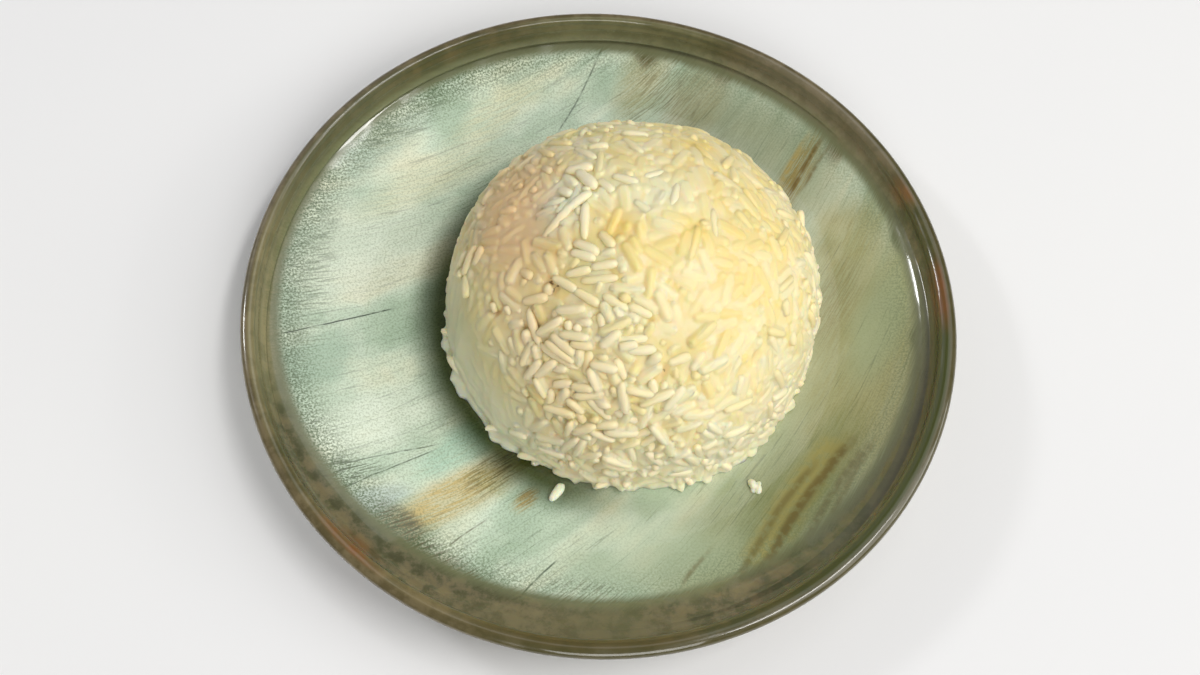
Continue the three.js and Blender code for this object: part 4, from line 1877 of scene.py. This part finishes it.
        write_attribute(piece, "tone", relax_heights(piece, tone, 0.2 + 0.8 * smear, 4))
        # The rim and brim masks add painted light: a pale line along the left edge of the film.
        self.write_zones(piece, turn, rise, 0.6 * rim * low + 1.1 * brim)

    def pressed(self, height: Array, places: Array, skin: Array, turn: Array, rise: Array) -> Array:
        """Works the grains' heights into the pressed skin: deep gaps fill up and high grains sink in.

        Args:
            height: The grains' heights over the skin.
            places: The core's vertices.
            skin: The skin's places at the vertices.
            turn: Angles round the dome.
            rise: Angles above its spring line.

        Returns:
            The heights that are left.
        """
        free = smooth_step(combined(self.loose_spots, turn, rise), 0.04, 0.5)
        smear = combined(self.smear_spots, turn, rise)
        kept = 1.0 - smear
        height = height + (self.press * (1.0 - free) - self.loose_drop * free)
        foot_zone = 1.0 - smooth_step(places[:, 2], self.form.foot + 1.0, self.form.foot + 8.0)
        pits = np.maximum(ripple(skin, 9.0, SEED + 1) - 0.9, 0.0)
        gap = self.gap + self.loose_gap * free + self.foot_gap * foot_zone + self.pit_gap * pits
        height = soft_floor(height, -(gap * kept + self.smear_gap * smear), self.rounding)
        highest = self.highest_pressed + np.maximum(
            self.highest_loose * free, self.highest_foot * foot_zone * kept
        )
        return -soft_floor(-height, -highest, self.rounding)

    def ledge(self, skin: Array, turn: Array, rise: Array) -> Array:
        """Shapes how the foot sticks out: uneven, with a smoother rim at the left and some flakes.

        Args:
            skin: The skin's places at the core's vertices.
            turn: Angles round the dome.
            rise: Angles above its spring line.

        Returns:
            How far the foot sticks out at each vertex.
        """
        uneven = 0.5 + 0.7 * ripple(skin, 17.0, SEED + 3) + 0.4 * ripple(skin, 3.0, SEED + 4)
        smoother = 0.9 + 0.4 * ripple(skin, 9.0, SEED + 6) + 0.1 * ripple(skin, 3.4, SEED + 5)
        flaky = 1.4 + 0.8 * ripple(skin, 7.5, SEED + 7) + 0.25 * ripple(skin, 3.2, SEED + 8)
        rim = combined(self.rim_spots, turn, rise)
        flake = smooth_step(combined(self.flake_spots, turn, rise), 0.1, 0.5)
        return np.clip(uneven, 0.0, 2.0) * (1.0 - rim) + rim * smoother + flake * np.clip(flaky, 0.5, 1.6)

    def write_zones(
        self, piece: Piece, turn: Array, rise: Array, more_white: Array | float = 0.0,
    ) -> None:
        """Stores how white, tan, golden and filmy each place of a piece is; the tan is painted shade, and
        part of the white is painted light on the left rim.

        Args:
            piece: The core or a piece made of grains.
            turn: Angles round the dome.
            rise: Angles above its spring line.
            more_white: Painted light along the dome's left rim, which comes on top of the white spots.
        """
        white = combined(self.white_spots, turn, rise) + more_white
        write_attribute(piece, "white", np.clip(white, 0.0, 1.0))
        write_attribute(piece, "tan", combined(self.tan_spots, turn, rise))
        write_attribute(piece, "gold", combined(self.gold_spots, turn, rise))
        write_attribute(piece, "film", combined(self.film_spots, turn, rise))

    def grains(self, bed: GrainBed, mould: GrainMould) -> Piece:
        """Copies one kind of grain to all its places, as one mesh.

        Args:
            bed: The grains of that kind.
            mould: The shape of the kind.

        Returns:
            The finished piece.
        """
        shape, faces = mould.model()
        piece = stamp_grains(f"rice_grains_{mould.kind.name.lower()}", bed, shape, faces, self.form)
        places = vertex_places(piece) / MM
        turn, rise, _ = self.form.polar(places)
        write_attribute(piece, "tone", np.repeat(bed.tone, len(shape)))
        # How deep each grain part is buried; the finish paints shade there.
        write_attribute(piece, "hollow", smooth_step(self.form.depth(places), 1.6, 4.2))
        self.write_zones(piece, turn, rise)
        smooth_shading(piece)
        return piece

    def build(self) -> list[Piece]:
        """Makes the core and all the grains of the dome.

        Returns:
            The finished pieces.
        """
        rng = np.random.default_rng(SEED)
        bed = self.scatter(rng).joined(self.loosen(rng)).joined(self.skirt(rng)).joined(self.hand_set())
        self.settle(bed)
        turn, rise, _ = self.form.polar(bed.middle)
        loose = combined(self.loose_spots, turn, rise)
        smear = combined(self.smear_spots, turn, rise)
        depth = self.form.depth(bed.middle)
        shown = ((loose > 0.1) & (depth < 3.4)) | (bed.cover < -0.25)
        shown = (shown & (smear < 0.7)) | bed.held | (bed.cover < -2.0)
        pressed = self.finish.build()
        single = self.single_finish.build()
        core = self.core(bed.chosen(~bed.held))
        grains = [
            self.grains(bed.chosen(shown & (bed.kind == mould.kind.value)), mould)
            for mould in self.moulds
        ]
        mount_piece(core, "rice", pressed)
        for piece in grains:
            mount_piece(piece, "rice", single)
        return [core, *grains]


def column(name: str) -> Array:
    """Lists one value of all the grains that are set by hand."""
    return np.array([getattr(grain, name) for grain in HAND_SET_GRAINS])


def point_tree(points: Array) -> KDTree:
    """Sorts places so that the near ones are found fast.

    Args:
        points: Places of shape (count, 3).

    Returns:
        The sorted places.
    """
    tree = KDTree(len(points))
    for index, place in enumerate(points):
        tree.insert(place, index)
    tree.balance()
    return tree


def gathered(owner: Array, moves: Array, count: int) -> Array:
    """Adds up the moves of each bead, from the bead and the move of each pair."""
    return np.stack([np.bincount(owner, moves[:, axis], count) for axis in range(3)], -1)


def near_pairs(beads: Array, owner: Array, reach: float) -> tuple[Array, Array]:
    """Lists the pairs of beads that are close and belong to different grains.

    Args:
        beads: Places of shape (count, 3).
        owner: The grain that each bead belongs to.
        reach: The largest distance of a pair.

    Returns:
        The first and second bead of each pair.
    """
    tree = point_tree(beads)
    first, second = [], []
    for index, place in enumerate(beads):
        for _, other, _ in tree.find_range(place, reach):
            if other > index:
                first.append(index)
                second.append(other)
    first, second = np.array(first, int), np.array(second, int)
    different = owner[first] != owner[second]
    return first[different], second[different]


def soft_floor(value: Array, lowest: Array, blend: float) -> Array:
    """Keeps numbers above a lowest one and rounds the bend where they meet it by the blend."""
    return blend * np.logaddexp(value / blend, lowest / blend)


def grain_relief(bed: GrainBed, skin: Array, normal: Array) -> tuple[Array, Array]:
    """Measures how high the grains stand below each place of the skin.

    Args:
        bed: The settled grains.
        skin: Places on the skin, of shape (count, 3).
        normal: The skin's directions outwards.

    Returns:
        Heights over the skin, mostly below 0, and the grain that is on top at each place.
    """
    nothing = -9.0
    height = np.full(len(skin), nothing)
    highest = np.full(len(skin), -1)
    tree = point_tree(skin)
    grains = zip(bed.middle, bed.along, bed.length, bed.width)
    for number, (middle, along, length, width) in enumerate(grains):
        near = np.array([index for _, index, _ in tree.find_range(middle, length / 2.0 + 2.6)], int)
        if len(near) == 0:
            continue
        offset = skin[near] - middle
        out = normal[near]
        side = offset - (offset * out).sum(1)[:, None] * out
        lean = along - (along * out).sum(1)[:, None] * out
        half = (length - width) / 2.0
        share = np.clip((side * lean).sum(1) / np.maximum((lean**2).sum(1), 0.05), -half, half)
        across = ((side - share[:, None] * lean) ** 2).sum(1)
        room = (width / 2.0) ** 2 * (1.0 - 0.2 * (share / max(half, 0.1)) ** 2) - across
        top = ((share[:, None] * along - offset) * out).sum(1) + np.sqrt(np.maximum(room, 0.0))
        above = (room > 0.0) & (top > height[near])
        height[near[above]] = top[above]
        highest[near[above]] = number
    return height, highest


def relax_heights(piece: Piece, height: Array, strength: Array, rounds: int) -> Array:
    """Evens out heights between neighbouring vertices.

    Args:
        piece: The mesh that the heights belong to.
        height: One height for each vertex.
        strength: How strongly each vertex follows its neighbours.
        rounds: How often this is done.

    Returns:
        The evened heights.
    """
    edges = np.empty(len(piece.data.edges) * 2, np.int32)
    piece.data.edges.foreach_get("vertices", edges)
    start, end = edges.reshape(-1, 2).T
    count = len(height)
    neighbours = np.maximum(np.bincount(start, minlength=count) + np.bincount(end, minlength=count), 1)
    for number in range(rounds):
        share = strength if number > 1 else np.maximum(strength, 0.3)
        mean = (
            np.bincount(start, height[end], count) + np.bincount(end, height[start], count)
        ) / neighbours
        height = height + (mean - height) * share * (0.5 if number > 1 else 1.0)
    return height


def stamp_grains(
    name: str, bed: GrainBed, shape: Array, faces: list[tuple[int, ...]], form: DomeForm,
) -> Piece:
    """Joins the copies of one grain into a mesh.

    Args:
        name: The new object's name.
        bed: The grains to copy to.
        shape: The vertices of the grain, at a length and width of 1.
        faces: The grain's faces.
        form: The dome that the grains lie on.

    Returns:
        The joined mesh as an object.
    """
    count = len(bed.length)
    out = form.outward(bed.middle)
    side = np.cross(out, bed.along)
    side /= np.maximum(np.linalg.norm(side, axis=1), 1e-6)[:, None]
    top = np.cross(bed.along, side)
    turned_side = side * np.cos(bed.roll)[:, None] + top * np.sin(bed.roll)[:, None]
    turned_top = top * np.cos(bed.roll)[:, None] - side * np.sin(bed.roll)[:, None]
    length, width = bed.length[:, None], bed.width[:, None]
    axes = np.stack([bed.along * length, turned_side * width, turned_top * width], 1)
    vertices = (np.einsum("vk,nkc->nvc", shape, axes) + bed.middle[:, None]).reshape(-1, 3) * MM
    polygons = []
    for number in range(count):
        start = number * len(shape)
        polygons.extend(tuple(index + start for index in face) for face in faces)
    mesh = bpy.data.meshes.new(name)
    mesh.from_pydata(vertices.tolist(), [], polygons)
    mesh.update()
    piece = bpy.data.objects.new(name, mesh)
    bpy.context.scene.collection.objects.link(piece)
    return piece


@dataclass(frozen=True)
class RiceBit:
    """One rounded bit of a crumb: its place, length and width in millimetres and its turn in degrees."""

    x: float
    y: float
    length: float
    width: float
    heading: float


@dataclass
class Crumb:
    """A few bits of rice melted into one crumb on the plate. Sizes are in millimetres, turns in degrees."""

    name: str
    node: str
    x: float
    y: float
    heading: float
    bits: tuple[RiceBit, ...]
    floor: float = 7.5
    flatness: float = 0.84
    sinking: float = 0.43
    gap: float = 0.06
    grid: float = 0.16
    roughness: float = 0.3
    roughness_scale: float = 0.0012
    tone: float = 0.1

    def build(self, material: Material) -> Piece:
        """Makes the crumb.

        Args:
            material: The crumb's finish.

        Returns:
            The finished crumb.
        """
        made = [self.ball(bit) for bit in self.bits]
        for part in made:
            part.select_set(True)
        bpy.context.view_layer.objects.active = made[0]
        bpy.ops.object.join()
        piece = bpy.context.object
        piece.name = self.name
        apply_modifier(piece, "REMESH", mode="VOXEL", voxel_size=self.grid * MM)
        clouds = bpy.data.textures.new(self.name + "_grain", "CLOUDS")
        clouds.noise_scale = self.roughness_scale
        strength = self.roughness * MM
        apply_modifier(
            piece, "DISPLACE", texture=clouds, texture_coords="LOCAL", strength=strength, mid_level=0.5
        )
        apply_modifier(piece, "SMOOTH", factor=0.5, iterations=3)
        places = vertex_places(piece)
        places[:, 2] = np.maximum(places[:, 2], (self.floor + self.gap) * MM)
        move_vertices(piece, places)
        smooth_shading(piece)
        zones = {"tone": self.tone, "hollow": 0.0, "tan": 0.0, "gold": 0.0, "film": 0.0, "white": 1.0}
        for attribute, value in zones.items():
            write_attribute(piece, attribute, np.full(len(places), value))
        mount_piece(piece, self.node, material)
        return piece

    def ball(self, bit: RiceBit) -> Piece:
        """Models one bit as a flattened ball.

        Args:
            bit: The bit's place and sizes.

        Returns:
            The bit.
        """
        turn = math.radians(self.heading)
        x = self.x + bit.x * math.cos(turn) - bit.y * math.sin(turn)
        y = self.y + bit.x * math.sin(turn) + bit.y * math.cos(turn)
        z = self.floor + bit.width * self.sinking
        ball = added(
            bpy.ops.mesh.primitive_uv_sphere_add,
            segments=20,
            ring_count=12,
            radius=0.5 * MM,
            location=(x * MM, y * MM, z * MM),
            rotation=(0.0, 0.0, turn + math.radians(bit.heading)),
            scale=(bit.length, bit.width, bit.width * self.flatness),
        )
        bpy.ops.object.transform_apply(location=True, rotation=True, scale=True)
        return ball


@dataclass
class StrayBits:
    """The grain and the crumb that lie on the plate beside the dome."""

    finish: SteamedRice = SteamedRice("stray_rice", pale=(250, 246, 232), deep=(240, 230, 205))
    grain: tuple[RiceBit, ...] = (
        RiceBit(0.0, 0.0, 6.4, 2.7, 0.0),
        RiceBit(1.2, 0.3, 3.4, 2.5, 8.0),
    )
    crumb: tuple[RiceBit, ...] = (
        RiceBit(-0.7, 0.6, 3.6, 2.4, -50.0),
        RiceBit(0.8, -0.5, 3.2, 2.2, -80.0),
        RiceBit(-0.4, -0.9, 2.0, 1.7, 20.0),
        RiceBit(0.9, 0.9, 1.8, 1.6, 60.0),
    )

    def build(self) -> list[Piece]:
        """Makes both.

        Returns:
            The finished pieces.
        """
        material = self.finish.build()
        crumbs = (
            Crumb("stray_grain_bit", "stray_grain", -7.4, -54.4, 57.0, self.grain),
            Crumb("stray_crumb_bit", "stray_clump", 47.8, -47.2, 0.0, self.crumb),
        )
        return [crumb.build(material) for crumb in crumbs]


@dataclass(frozen=True)
class SoftLamp:
    """One soft lamp that looks at the plate: its place and face in metres, and its power in watts."""

    name: str
    place: Triple
    width: float
    height: float
    power: float
    colour: Triple

    def hang(self) -> None:
        """Adds the lamp to the scene."""
        lamp = added(bpy.ops.object.light_add, type="AREA", location=self.place)
        lamp.name = self.name
        lamp.data.shape = "RECTANGLE"
        lamp.data.size = self.width
        lamp.data.size_y = self.height
        lamp.data.energy = self.power
        lamp.data.color = self.colour
        lamp.rotation_euler = Vector(self.place).to_track_quat("Z", "Y").to_euler()


@dataclass
class Studio:
    """The camera, the lights and the pale floor. Sizes are in metres."""

    camera_place: Triple = (0.00049, -0.18219, 0.38214)
    camera_right: Triple = (0.9956, 0.0846, 0.0400)
    camera_up: Triple = (-0.0936, 0.9001, 0.4254)
    camera_back: Triple = (0.0, -0.4273, 0.9041)
    lens: float = 42.28
    sensor: float = 36.0
    floor_size: float = 8.0
    room_light: float = 0.112
    floor: PaleFloor = PaleFloor()
    lamps: tuple[SoftLamp, ...] = (
        SoftLamp("key_window", (2.9, -0.5, 2.65), 2.4, 2.4, 38.5, (1.0, 0.985, 0.955)),
        SoftLamp("bright_pane", (1.2, -0.2, 2.65), 1.4, 0.34, 25.0, (1.0, 0.99, 0.97)),
        SoftLamp("low_window", (3.0, 0.1, 1.35), 1.4, 0.7, 12.0, (1.0, 0.985, 0.955)),
        SoftLamp("side_window", (-2.3, 0.9, 1.8), 0.42, 0.35, 13.0, (0.98, 0.99, 1.0)),
        SoftLamp("front_window", (0.6, -2.5, 2.0), 1.6, 1.6, 42.0, (1.0, 0.99, 0.97)),
        SoftLamp("back_window", (-1.9, 1.85, 1.85), 2.4, 2.4, 7.0, (0.96, 0.98, 1.0)),
        SoftLamp("ceiling_window", (0.9, 1.4, 2.7), 1.8, 1.8, 10.0, (1.0, 1.0, 1.0)),
    )

    def build(self) -> None:
        """Sets up the floor, the lights and the camera."""
        self.lay_floor()
        self.light_room()
        for lamp in self.lamps:
            lamp.hang()
        self.set_camera()

    def lay_floor(self) -> None:
        """Lays the plain floor under the plate."""
        floor = added(bpy.ops.mesh.primitive_plane_add, size=self.floor_size, location=(0.0, 0.0, 0.0))
        floor.name = "floor"
        with edit_mode(floor):
            bpy.ops.mesh.select_all(action="SELECT")
            bpy.ops.mesh.subdivide(number_cuts=4)
        floor.data.materials.append(self.floor.build())

    def light_room(self) -> None:
        """Fills the room with even pale light."""
        world = bpy.data.worlds.new("pale_room")
        world.use_nodes = True
        background = world.node_tree.nodes["Background"]
        background.inputs["Color"].default_value = (1.0, 1.0, 1.0, 1.0)
        background.inputs["Strength"].default_value = self.room_light
        bpy.context.scene.world = world

    def set_camera(self) -> None:
        """Places the camera at the photograph's viewing angle."""
        camera = added(bpy.ops.object.camera_add, location=self.camera_place)
        camera.name = "camera"
        matrix = camera.matrix_world.copy()
        for column, axis in enumerate((self.camera_right, self.camera_up, self.camera_back)):
            for row in range(3):
                matrix[row][column] = axis[row]
        camera.matrix_world = matrix
        camera.data.lens = self.lens
        camera.data.sensor_width = self.sensor
        camera.data.clip_start = 0.01
        bpy.context.scene.camera = camera
        bpy.context.scene.view_settings.view_transform = "Standard"


def main() -> None:
    """Builds the plate, the rice, the stray bits and the studio in order."""
    plate = Plate().build()
    LOG.info("plate finished: %s", plate.name)
    rice = RiceDome().build()
    LOG.info("rice finished: %s", ", ".join(piece.name for piece in rice))
    strays = StrayBits().build()
    LOG.info("stray bits finished: %s", ", ".join(piece.name for piece in strays))
    Studio().build()
    LOG.info("studio finished")


if __name__ == "__main__":
    main()
